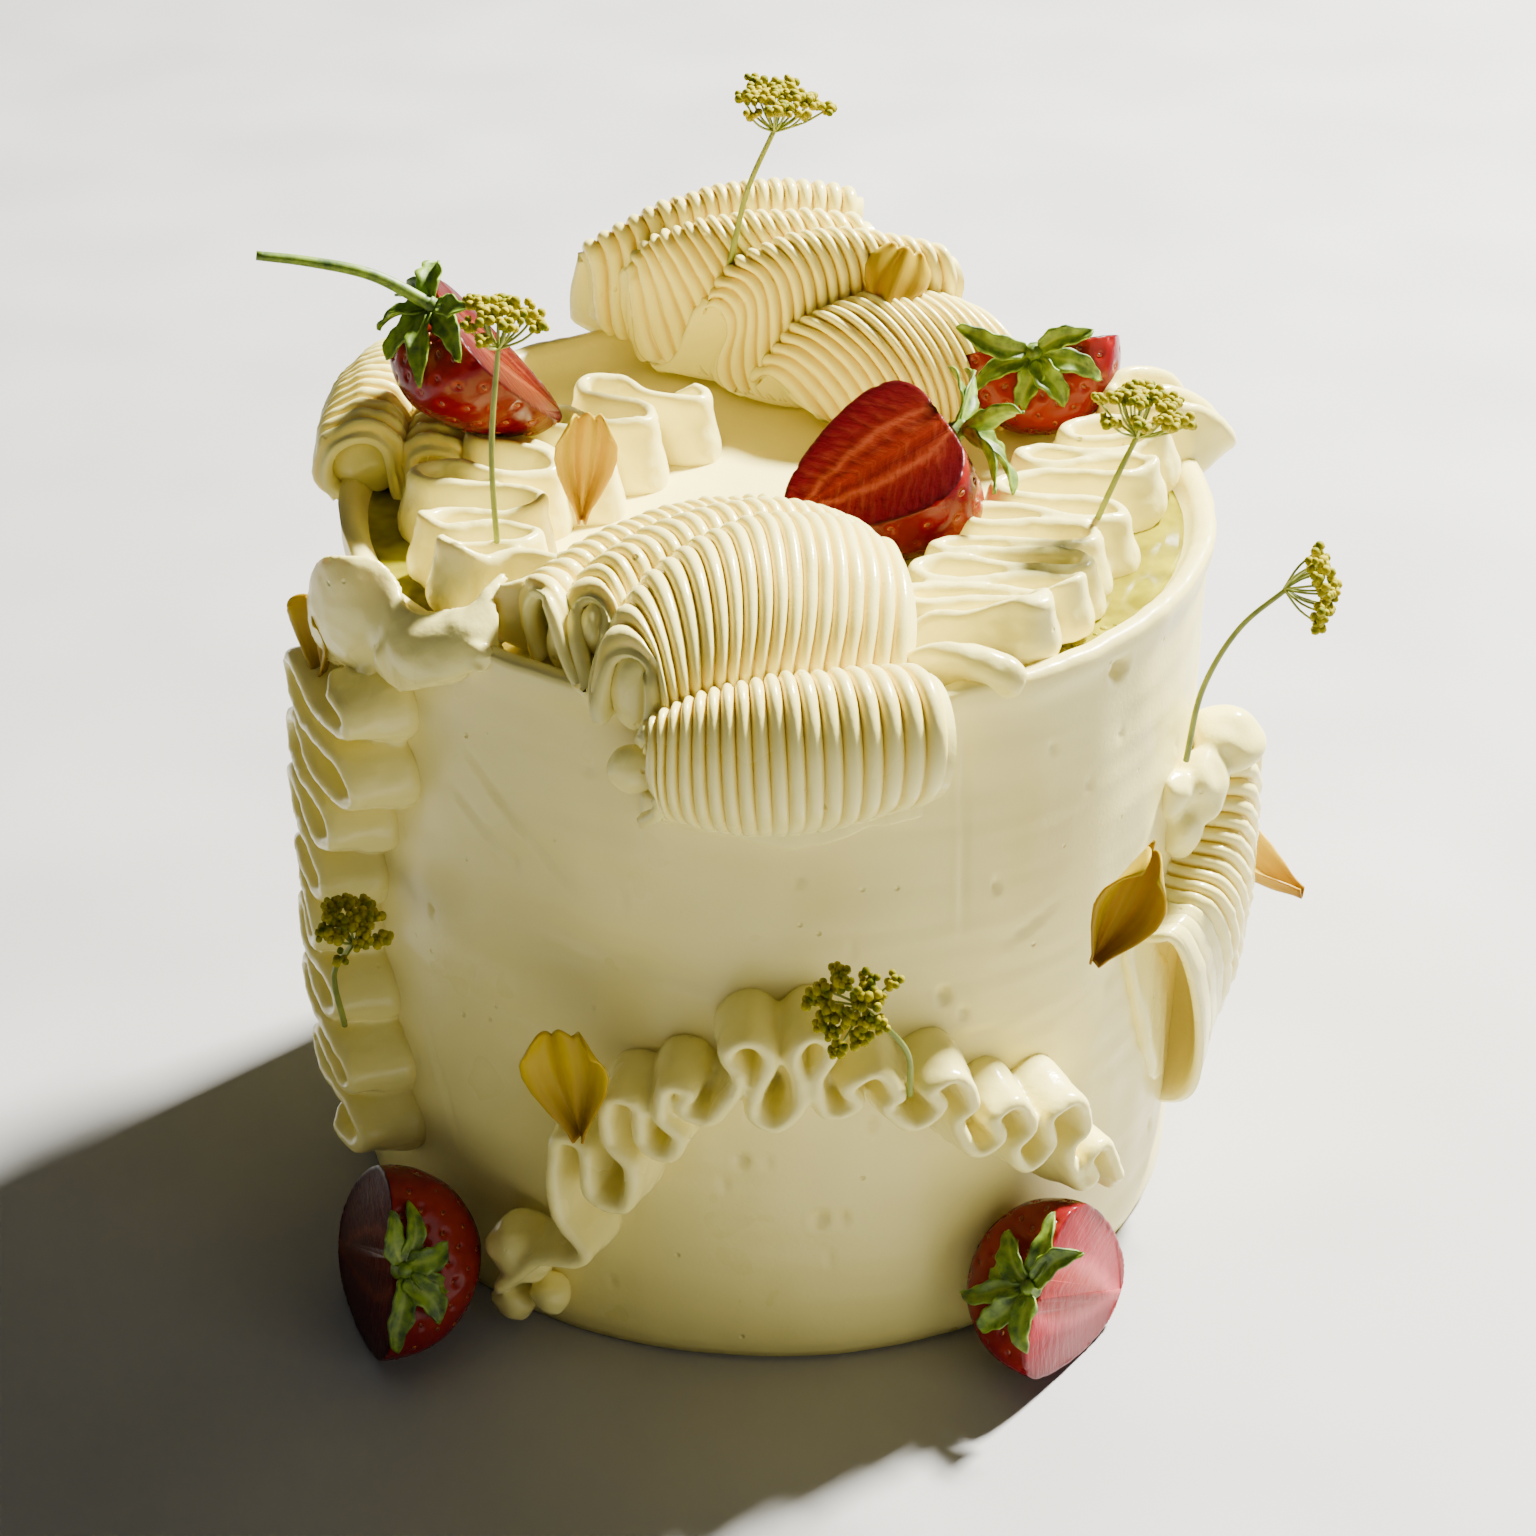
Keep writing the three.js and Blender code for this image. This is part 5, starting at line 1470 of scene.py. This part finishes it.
berries = {}
for name, berry in STRAWBERRIES.items():
    radius = BERRY_RADIUS * berry.get("girth", 1.0)
    cut = berry.get("cut", 1.5)
    frame_of_berry = berry_frame(berry["hub"], berry["axis"], berry["face"])
    fruit, seeds = whole_berry("strawberry_" + name, radius)
    fruit.data.materials.append(berry_skin)
    # the face in the sun gets the flesh with painted sunlight, and the others get the flesh with painted
    # shade
    fruit.data.materials.append(flesh_painted_sunlight if name == "lower_right" else flesh_painted_shade)
    cut_berry(fruit, cut)
    keep_berry_place(fruit, radius)
    into_frame(fruit, frame_of_berry)
    grains = seed_piece(seeds, cut)
    grains.data.materials.append(berry_seed)
    into_frame(grains, frame_of_berry)
    fruit = join_pieces("half_strawberry_" + name, [fruit, grains])
    berries[name] = frame_of_berry
    hand_over(fruit, "strawberry_" + name)

# %% [markdown]
# ## Green caps
# The cap of a strawberry is a ring of pointed leaves around a short stub of stem. One leaf is a
# small grid: it is drawn to a lance shape, cupped, and bent along its length, then given its
# thickness with a solidify modifier. Its finish is a matt, cloudy green, like any young leaf, with
# a pale rib along the middle that fades towards the tip.

# %% Leaf finish
LEAF_CLOUDS = 2.4


def make_green(name, dark, light, rib):
    """Leaf green with cloudy patches and a pale rib along the middle."""
    finish, tree, shader, place = new_finish(name)
    cloud = add_node(tree, "TexNoise", {"Scale": per_mm(LEAF_CLOUDS), "Detail": 4.0}, {"Vector": place})
    colour = add_node(tree, "ValToRGB", links={"Fac": cloud.outputs["Fac"]})
    set_ramp(colour, [(0.32, dark), (0.66, light)])
    midrib = add_node(tree, "Attribute", attribute_name="midrib")
    ribbed = add_node(tree, "Mix", {7: linear(rib)},
                      {"Factor": midrib.outputs["Fac"], 6: colour.outputs["Color"]}, data_type="RGBA")
    bump = add_node(tree, "Bump", {"Strength": 0.5, "Distance": 0.3 * MM},
                    {"Height": cloud.outputs["Fac"]})
    fill_sockets(shader, {"Roughness": 0.5, "Subsurface Weight": 0.15,
                          "Subsurface Radius": (0.5, 1.0, 0.2), "Subsurface Scale": 0.8 * MM},
                 {"Base Color": ribbed.outputs[2], "Normal": bump.outputs["Normal"]})
    return finish


leaf_green = make_green("strawberry_leaf_green", "#34500a", "#809c20", "#b0bc48")
print(leaf_green.name)

# %% [markdown]
# Each leaf leaves the stem end at its own turn, in degrees, with its length and the angle by which
# it rises. A stalk is a small round section, swept along a curve and tapered. The strawberry at the
# left kept its long stem.

# %% Cap leaves
LEAF_ROWS = 17
LEAF_COLUMNS = 9
LEAF_THICKNESS = 0.45
LEAF_WIDTH = 6.8
LEAF_DROOP = 45.0


def cap_leaf(turn, length, lift):
    """One leaf in the fruit's frame: it leaves at a turn, rises by lift degrees and droops.

    Its cupping, its twist and the waves of its edges follow from its turn, so that no two are alike.
    """
    share = np.linspace(0, 1, LEAF_ROWS)
    chance = random.Random(turn * 7 + length)
    cup, twist = chance.uniform(0.1, 0.75), chance.uniform(-0.7, 0.7)
    bend = np.radians(lift - LEAF_DROOP * chance.uniform(0.5, 1.5) * share ** 1.4)
    step = length / (LEAF_ROWS - 1)
    out = 1.2 + np.concatenate([[0], np.cumsum(np.cos(bend[:-1]))]) * step
    up = 1.7 + np.concatenate([[0], np.cumsum(np.sin(bend[:-1]))]) * step
    lance = 1.35 * share ** 0.45 * (1 - share) ** 0.62 + 0.10 * (1 - share)
    half = LEAF_WIDTH / 2 * np.clip(lance, 0.02, 1.2)
    half = half * (1 + 0.10 * np.sin(share * 21 + turn)) * chance.uniform(0.85, 1.15)
    edge = np.linspace(-1, 1, LEAF_COLUMNS)[None, :]
    lean = twist * share[:, None] ** 0.7
    side = half[:, None] * edge * np.cos(lean) + 1.6 * np.sin(share * 4 + turn)[:, None] * share[:, None]
    rise = up[:, None] + half[:, None] * (edge * np.sin(lean) + cup * edge ** 2)
    rise = rise + 0.45 * np.sin(share * 11 + turn)[:, None] * np.abs(edge) ** 2 * np.sign(edge)
    out = out[:, None] + 0 * side
    cosine, sine = math.cos(math.radians(turn)), math.sin(math.radians(turn))
    places = np.stack([out * cosine - side * sine, out * sine + side * cosine, rise], axis=-1)
    leaf = placed_grid("leaf", places)
    keep_values(leaf, "midrib", 0.7 * np.exp(-(edge / 0.16) ** 2) * (1 - share[:, None]))
    apply_modifier(leaf, "SOLIDIFY", thickness=LEAF_THICKNESS * MM, offset=0)
    return leaf


def round_thread(name, points, start_radius, end_radius, sides=8, spacing=1.2):
    """A round tapering stalk along a smooth curve through the points."""
    path = smooth_path(np.array(points, float), spacing)
    along = unit(np.gradient(path, axis=0))
    side = unit(np.cross(along[0], (0.3, 0.9, 0.2)))
    share = np.linspace(0, 1, len(path))
    radii = start_radius + (end_radius - start_radius) * share
    rings = []
    for place, forward, radius in zip(path, along, radii):
        side = unit(side - side.dot(forward) * forward)
        third = np.cross(forward, side)
        angles = 2 * math.pi * np.arange(sides) / sides
        rings.append(place + radius * (np.cos(angles)[:, None] * side + np.sin(angles)[:, None] * third))
    return rolled_grid(name, np.array(rings))


CAP_LEAVES = {
    "front": [(265, 18, 45), (65, 16, 55), (85, 20, 15), (180, 15, 35), (130, 16, 30), (225, 15, 25),
              (300, 12, 50)],
    "right": [(110, 14, 10), (70, 16, 30), (165, 12, -5), (245, 15, 5), (200, 12, 10), (290, 12, 20)],
    "left": [(105, 16, 12), (225, 16, 0), (270, 15, -5), (160, 11, 20), (190, 13, 5), (310, 10, 10),
             (60, 11, 25)],
    "lower_left": [(255, 13, 10), (160, 13, 0), (90, 16, 5), (210, 9, 30), (125, 12, 15), (290, 11, 20)],
    "lower_right": [(85, 15, 20), (50, 13, 20), (200, 14, 10), (240, 14, 10), (285, 12, 20),
                    (140, 12, 15), (170, 12, 0)],
}
STUB = [(0, 0, 0.2), (0, 0, 1.6), (0.3, 0.2, 3.4)]
LONG_STEM = [(-67.5, 3.5, 187.5), (-79, 2, 194.5), (-91, 1, 197.5), (-101, 0, 199)]

for name, leaves in CAP_LEAVES.items():
    parts = [cap_leaf(*leaf) for leaf in leaves]
    parts.append(round_thread("stub", STUB, 2.3, 1.3, sides=10, spacing=0.6))
    cap = join_pieces("cap_" + name, parts)
    into_frame(cap, berries[name])
    if name == "left":
        stem = round_thread("stem", LONG_STEM, 1.4, 0.95, sides=12)
        cap = join_pieces("cap_" + name, [cap, stem])
    cap.data.materials.append(leaf_green)
    hand_over(cap, "calyx_" + name)

# %% [markdown]
# ## Flower heads
# The yellow heads are umbels: a stalk ends in a point from which thin rays spread like the ribs of an
# umbrella, and each ray carries a tuft of tiny flowers. At this size a single flower is a yellow
# grain. The rays are spread by the golden angle too, and the grains are one small ball, copied.
# Pollen makes the flowers matt, with a faint glow where light passes through them. The stalks are a
# dull, waxy green.

# %% Flower finishes
FLOWER_PATCHES = 2.2
STALK_BANDS = 5


def make_flower_yellow():
    """Pollen yellow with greener patches."""
    finish, tree, shader, place = new_finish("umbel_flower_yellow")
    patch = add_node(tree, "TexNoise", {"Scale": per_mm(FLOWER_PATCHES), "Detail": 2.0},
                     {"Vector": place})
    colour = add_node(tree, "ValToRGB", links={"Fac": patch.outputs["Fac"]})
    set_ramp(colour, [(0.3, "#5e6a00"), (0.5, "#988e00"), (0.75, "#b8a800")])
    fill_sockets(shader, {"Roughness": 0.6, "Specular IOR Level": 0.1, "Subsurface Weight": 0.35,
                          "Subsurface Radius": (1.0, 0.9, 0.2), "Subsurface Scale": 1.0 * MM},
                 {"Base Color": colour.outputs["Color"]})
    return finish


def make_stalk_green():
    """Thin stalks: dull olive green in lighter and darker bands."""
    finish, tree, shader, place = new_finish("umbel_stalk_green")
    bands = add_node(tree, "TexNoise", {"Scale": per_mm(STALK_BANDS), "Detail": 2.0}, {"Vector": place})
    colour = add_node(tree, "ValToRGB", links={"Fac": bands.outputs["Fac"]})
    set_ramp(colour, [(0.3, "#6d7a28"), (0.7, "#97a03c")])
    fill_sockets(shader, {"Roughness": 0.5}, {"Base Color": colour.outputs["Color"]})
    return finish


flower_yellow, stalk_green = make_flower_yellow(), make_stalk_green()
print(flower_yellow.name, stalk_green.name)

# %% [markdown]
# Each head has the places that its stem runs through, the way in which it looks, and its number of
# rays. Rays near the rim of the head are bent more, so that the head is a shallow dome.

# %% Flower heads
FLOWER_SEED = 41
HEAD_RADIUS = 9.5
HEAD_DEPTH = 8.5
STALK_RADIUS = 0.65
RAY_RADIUS = 0.24
GRAIN_RADIUS = 0.95
TUFT_RADIUS = 1.9
FLOWERS = {
    "top": {"stem": [(-10.5, 55, 176), (-7, 53, 193), (-1.6, 50, 207.5)], "aim": (0.1, 0, 1),
            "rays": 20},
    "left": {"stem": [(-52, -43, 152), (-52.8, -45, 180), (-51, -46, 201.5)], "aim": (0.1, -0.1, 1),
             "rays": 15, "spread": 0.8},
    "right": {"stem": [(61, -24, 155), (65, -26, 168), (68.4, -25, 176)], "aim": (0.15, 0, 1),
              "rays": 20},
    "far_right": {"stem": [(81, -38, 112), (83, -39, 129), (89, -40, 143), (97, -41, 152)],
                  "aim": (0.95, -0.1, 0.2), "rays": 14, "spread": 0.8},
    "side": {"stem": [(-85, -50, 54), (-86, -53, 69), (-81.5, -56, 78)], "aim": (0, -0.35, 1),
             "rays": 14, "spread": 0.8},
    "arch": {"stem": [(27, -94, 71), (25.5, -99, 85), (17.2, -100, 95)], "aim": (-0.3, -0.75, 0.45),
             "rays": 16, "spread": 0.95},
}

bpy.ops.mesh.primitive_uv_sphere_add(segments=6, ring_count=4, radius=GRAIN_RADIUS * MM)
grain_pattern = bpy.context.object
grain_pattern.name = "flower_grain"
grain_ball = points_of(grain_pattern)


def grain_at(place, size):
    """One tiny flower, a copy of the pattern with its own mesh."""
    grain = grain_pattern.copy()
    grain.data = grain_pattern.data.copy()
    bpy.context.collection.objects.link(grain)
    move_points(grain, grain_ball * size + place)
    return grain


def flower_head(name, flower, chance):
    """Stalk, rays and tufts of one umbel."""
    hub = np.array(flower["stem"][-1], float)
    up = unit(np.array(flower["aim"], float))
    right = unit(np.cross((1, 0, 0) if abs(up[0]) < 0.8 else (0, 1, 0), up))
    front = np.cross(up, right)
    green = [round_thread("stalk", flower["stem"], STALK_RADIUS, STALK_RADIUS * 0.8, 8)]
    yellow = []
    rays = flower["rays"]
    spread = HEAD_RADIUS * flower.get("spread", 1.0)
    for ray in range(rays):
        share = math.sqrt((ray + 0.6) / rays)
        turn = ray * GOLDEN_ANGLE + chance.uniform(-0.15, 0.15)
        out = right * math.cos(turn) + front * math.sin(turn)
        tip = hub + out * spread * share * chance.uniform(0.85, 1.05)
        tip = tip + up * (HEAD_DEPTH - 4.2 * share ** 2 + chance.uniform(-0.8, 0.8))
        belly = hub + (tip - hub) * 0.5 + out * 0.9 * share - up * 0.5
        green.append(round_thread("ray", [hub - up * 0.6, belly, tip], RAY_RADIUS * 1.2, RAY_RADIUS,
                                  sides=5, spacing=2.0))
        for grain in range(chance.randint(6, 9)):
            lift = up * chance.uniform(-0.3, 1.2)
            angle = grain * GOLDEN_ANGLE
            radius = TUFT_RADIUS * math.sqrt((grain + 0.4) / 8) * chance.uniform(0.8, 1.1)
            place = tip + (right * math.cos(angle) + front * math.sin(angle)) * radius + lift
            yellow.append(grain_at(place, chance.uniform(0.75, 1.15)))
    stalks = join_pieces("stalks", green)
    stalks.data.materials.append(stalk_green)
    tufts = join_pieces("tufts", yellow)
    tufts.data.materials.append(flower_yellow)
    return join_pieces(name, [stalks, tufts])


chance = random.Random(FLOWER_SEED)
for name, flower in FLOWERS.items():
    head = flower_head("flower_head_" + name, flower, chance)
    hand_over(head, "flower_" + name)
bpy.data.objects.remove(grain_pattern)

# %% [markdown]
# ## Petals
# Loose golden petals, narrow at the foot, with a lobed tip and soft ridges along their length. Each
# one is a grid drawn to the outline of a petal and bent in two directions, made thick with solidify.
# A petal is thin and full of air, so light passes into it and it glows warmly: its finish has a
# silky sheen and strong subsurface scattering, streaked along its length and browner at the foot.

# %% Petal finish
PETAL_STREAKS = (9.0, 1.2, 1.0)


def make_petal():
    """Golden petal: silky, streaked along its length, browner at the foot."""
    finish, tree, shader, place = new_finish("golden_petal")
    inside = add_node(tree, "Attribute", attribute_name="petal_place")
    stretch = add_node(tree, "Mapping", {"Scale": PETAL_STREAKS}, {"Vector": inside.outputs["Vector"]})
    streak = add_node(tree, "TexNoise", {"Scale": 1.0, "Detail": 3.0}, {"Vector": stretch.outputs[0]})
    parts = add_node(tree, "SeparateXYZ", links={"Vector": inside.outputs["Vector"]})
    tone = add_node(tree, "Math", {1: 0.55}, {0: streak.outputs["Fac"], 2: parts.outputs["Y"]},
                    operation="MULTIPLY_ADD")
    colour = add_node(tree, "ValToRGB", links={"Fac": tone.outputs[0]})
    set_ramp(colour, [(0.15, "#7a5000"), (0.5, "#9c7c00"), (1.0, "#b49800")])
    bump = add_node(tree, "Bump", {"Strength": 0.35, "Distance": 0.3 * MM},
                    {"Height": streak.outputs["Fac"]})
    fill_sockets(shader, {"Roughness": 0.38, "Specular IOR Level": 0.15, "Subsurface Weight": 0.45,
                          "Subsurface Radius": (1.0, 0.65, 0.05), "Subsurface Scale": 1.2 * MM},
                 {"Base Color": colour.outputs["Color"], "Normal": bump.outputs["Normal"]})
    return finish


golden_petal = make_petal()
print(golden_petal.name)

# %% [markdown]
# Each petal has its foot, the way it grows and the way it faces. Curl bends its tip back, cup
# raises its two edges, fold brings them together like a book, and pinch narrows its tip.

# %% Petals
PETAL_LENGTH = 24.0
PETAL_THICKNESS = 0.5
PETAL_ROWS = 33
PETAL_COLUMNS = 33
PETAL_HEIGHTS = [0, 0.1, 0.3, 0.5, 0.68, 0.85, 0.95, 1]
PETAL_HALVES = [0.1, 0.2, 0.56, 0.86, 1.0, 0.98, 0.86, 0.72]
PETALS = {
    "left_top": {"foot": (-38, -17, 152), "along": (0.06, -0.1, 1), "facing": (0.1, -1, 0),
                 "width": 12.2, "curl": 0.1},
    "mound": {"foot": (20, 40, 168), "along": (0.30, 0.1, 0.9), "facing": (-0.1, -0.95, 0.2),
              "width": 13.5, "curl": -0.35, "cup": -0.3, "length": 16.0},
    "right_upper": {"foot": (61, -79, 92), "along": (0.42, 0.2, 0.9), "facing": (0.1, -0.95, 0.2),
                    "width": 17.0, "curl": -0.1, "fold": 0.35, "pinch": 0.75},
    "right_lower": {"foot": (111, -12, 64), "along": (-0.76, 0.65, -0.05), "facing": (0, 0, 1),
                    "width": 14.0, "curl": 0.1, "fold": 0.45},
    "arch": {"foot": (-35, -95, 61), "along": (-0.12, 0.02, 1), "facing": (-0.2, -1, 0),
             "width": 17.0, "curl": 0.1},
    "left_side": {"foot": (-87, -36, 126), "along": (-0.02, 0.02, 1), "facing": (-0.8, -0.6, 0.1),
                  "width": 13.5, "curl": 0.1, "length": 17.0},
}


def petal_piece(name, foot, along, facing, width, curl, cup=0.16, fold=0.0, pinch=0.0,
                length=PETAL_LENGTH):
    """One petal from its foot, the way it grows and the way it faces."""
    z = unit(np.array(along, float))
    n = np.array(facing, float)
    n = unit(n - n.dot(z) * z)
    x = np.cross(z, n)
    share = np.linspace(0, 1, PETAL_ROWS)[:, None]
    edge = np.linspace(-1, 1, PETAL_COLUMNS)[None, :]
    half = np.interp(share, PETAL_HEIGHTS, PETAL_HALVES)
    half = half * (1 - pinch * share ** 3)
    lobes = 0.10 * np.abs(np.cos(edge * math.pi * 1.5)) - 0.12 * edge ** 2
    reach = share + lobes * share ** 4
    ridges = 0.75 * np.cos(edge * math.pi * 2.5) * (1 - 0.3 * share) * smooth_share(share, 0, 0.3)
    bow = length * curl * share ** 2 + width * (cup * edge ** 2 + fold * np.abs(edge) * share)
    ruffled = 0.7 * np.sin(edge * 7 + 1.3) * share ** 4
    places = (np.array(foot, float) + z * (length * reach)[..., None]
              + x * (edge * half * width / 2)[..., None] + n * (bow + ridges + ruffled)[..., None])
    petal = placed_grid(name, places)
    inside = np.stack([edge + 0 * share, share + 0 * edge, 0 * share * edge], axis=-1)
    keep_places(petal, "petal_place", inside)
    apply_modifier(petal, "SOLIDIFY", thickness=PETAL_THICKNESS * MM, offset=0)
    petal.data.materials.append(golden_petal)
    return petal


for name, shape in PETALS.items():
    petal = petal_piece("loose_petal_" + name, **shape)
    hand_over(petal, "petal_" + name)

# %% [markdown]
# ## Oil
# Olive oil was poured on last and ran into the gutter inside the rim. It lies there as a green-gold
# pool with a rounded edge, and a few bubbles. The pool is a rolled grid along the gutter: flat on
# top, curved down at one side and up against the rim at the other. Real oil is clear, but over pale
# cream it looks like a glossy yellow glaze that light enters. So its finish is an opaque yellow
# with a mirror-like gloss and subsurface scattering, which stays bright in any view.

# %% Oil finish
OIL_SWIRLS = 9

oil_finish, tree, shader, place = new_finish("golden_olive_oil")
swirl = add_node(tree, "TexNoise", {"Scale": per_mm(OIL_SWIRLS), "Detail": 2.0}, {"Vector": place})
oil_tint = add_node(tree, "ValToRGB", links={"Fac": swirl.outputs["Fac"]})
set_ramp(oil_tint, [(0.35, "#645c00"), (0.55, "#8a8200"), (0.75, "#aca400")])
fill_sockets(shader, {"Roughness": 0.08, "IOR": 1.47, "Specular IOR Level": 0.3,
                      "Subsurface Weight": 0.35, "Subsurface Radius": (1.0, 0.9, 0.25),
                      "Subsurface Scale": 2.5 * MM},
             {"Base Color": oil_tint.outputs["Color"]})
print(oil_finish.name)

# %% [markdown]
# A pool runs between two azimuths, from its inner radius to the rim, and narrows at both ends. The
# bubbles are small balls, pressed flat.

# %% Oil pools
OIL_LEVEL = 146.35
OIL_POOLS = {"right": (12, 114, 68.5), "left": (-106, -56, 71.0)}
GUTTER_RADIUS = 77.0
BUBBLES = [
    (58.0, -52.0, 0.75), (60.4, -50.0, 0.55), (62.2, -47.6, 0.8), (56.2, -54.6, 0.5),
    (64.5, -46.2, 0.5), (59.2, -53.4, 0.4), (54.0, -56.0, 0.6),
]
BUBBLE_FLATNESS = 0.5


def oil_pool(name, start, end, inner, seed):
    """A pool in the gutter between two azimuths."""
    count = int(abs(end - start) * 2)
    rings = []
    for step in range(count + 1):
        share = step / count
        angle = math.radians(start + (end - start) * share)
        swell = 0.12 + 0.88 * math.sin(math.pi * share) ** 0.5
        sway = 2.2 * noise.noise(Vector((step * 0.12, seed, 0)))
        reach = GUTTER_RADIUS + 0.5 - (GUTTER_RADIUS - inner + sway) * swell
        level = OIL_LEVEL - 0.5 * (1 - swell)
        section = [
            (reach, level - 1.6), (reach + 0.1, level - 0.7), (reach + 0.9, level - 0.2),
            (reach + 2.4, level), (GUTTER_RADIUS, level), (80.0, level + 0.05), (81.0, level + 0.3),
            (82.0, level + 0.75), (82.3, level + 0.3), (81.6, level - 1.4), (GUTTER_RADIUS, level - 2.0),
        ]
        rings.append([(r * math.sin(angle), -r * math.cos(angle), z) for r, z in section])
    return rolled_grid(name, np.array(rings))


def oil_bubble(x, y, radius):
    """A flat dome of air under the skin of the oil."""
    bpy.ops.mesh.primitive_uv_sphere_add(segments=12, ring_count=8, radius=radius * MM,
                                         location=(x * MM, y * MM, OIL_LEVEL * MM))
    bubble = bpy.context.object
    bubble.scale = (1, 1, BUBBLE_FLATNESS)
    bpy.ops.object.transform_apply(location=True, rotation=True, scale=True)
    return bubble


for seed, (name, (start, end, inner)) in enumerate(OIL_POOLS.items()):
    parts = [oil_pool("oil", start, end, inner, seed * 5.3)]
    if name == "right":
        parts += [oil_bubble(*bubble) for bubble in BUBBLES]
    pool = join_pieces("oil_pool_" + name, parts)
    pool.data.materials.append(oil_finish)
    hand_over(pool, "oil_" + name)
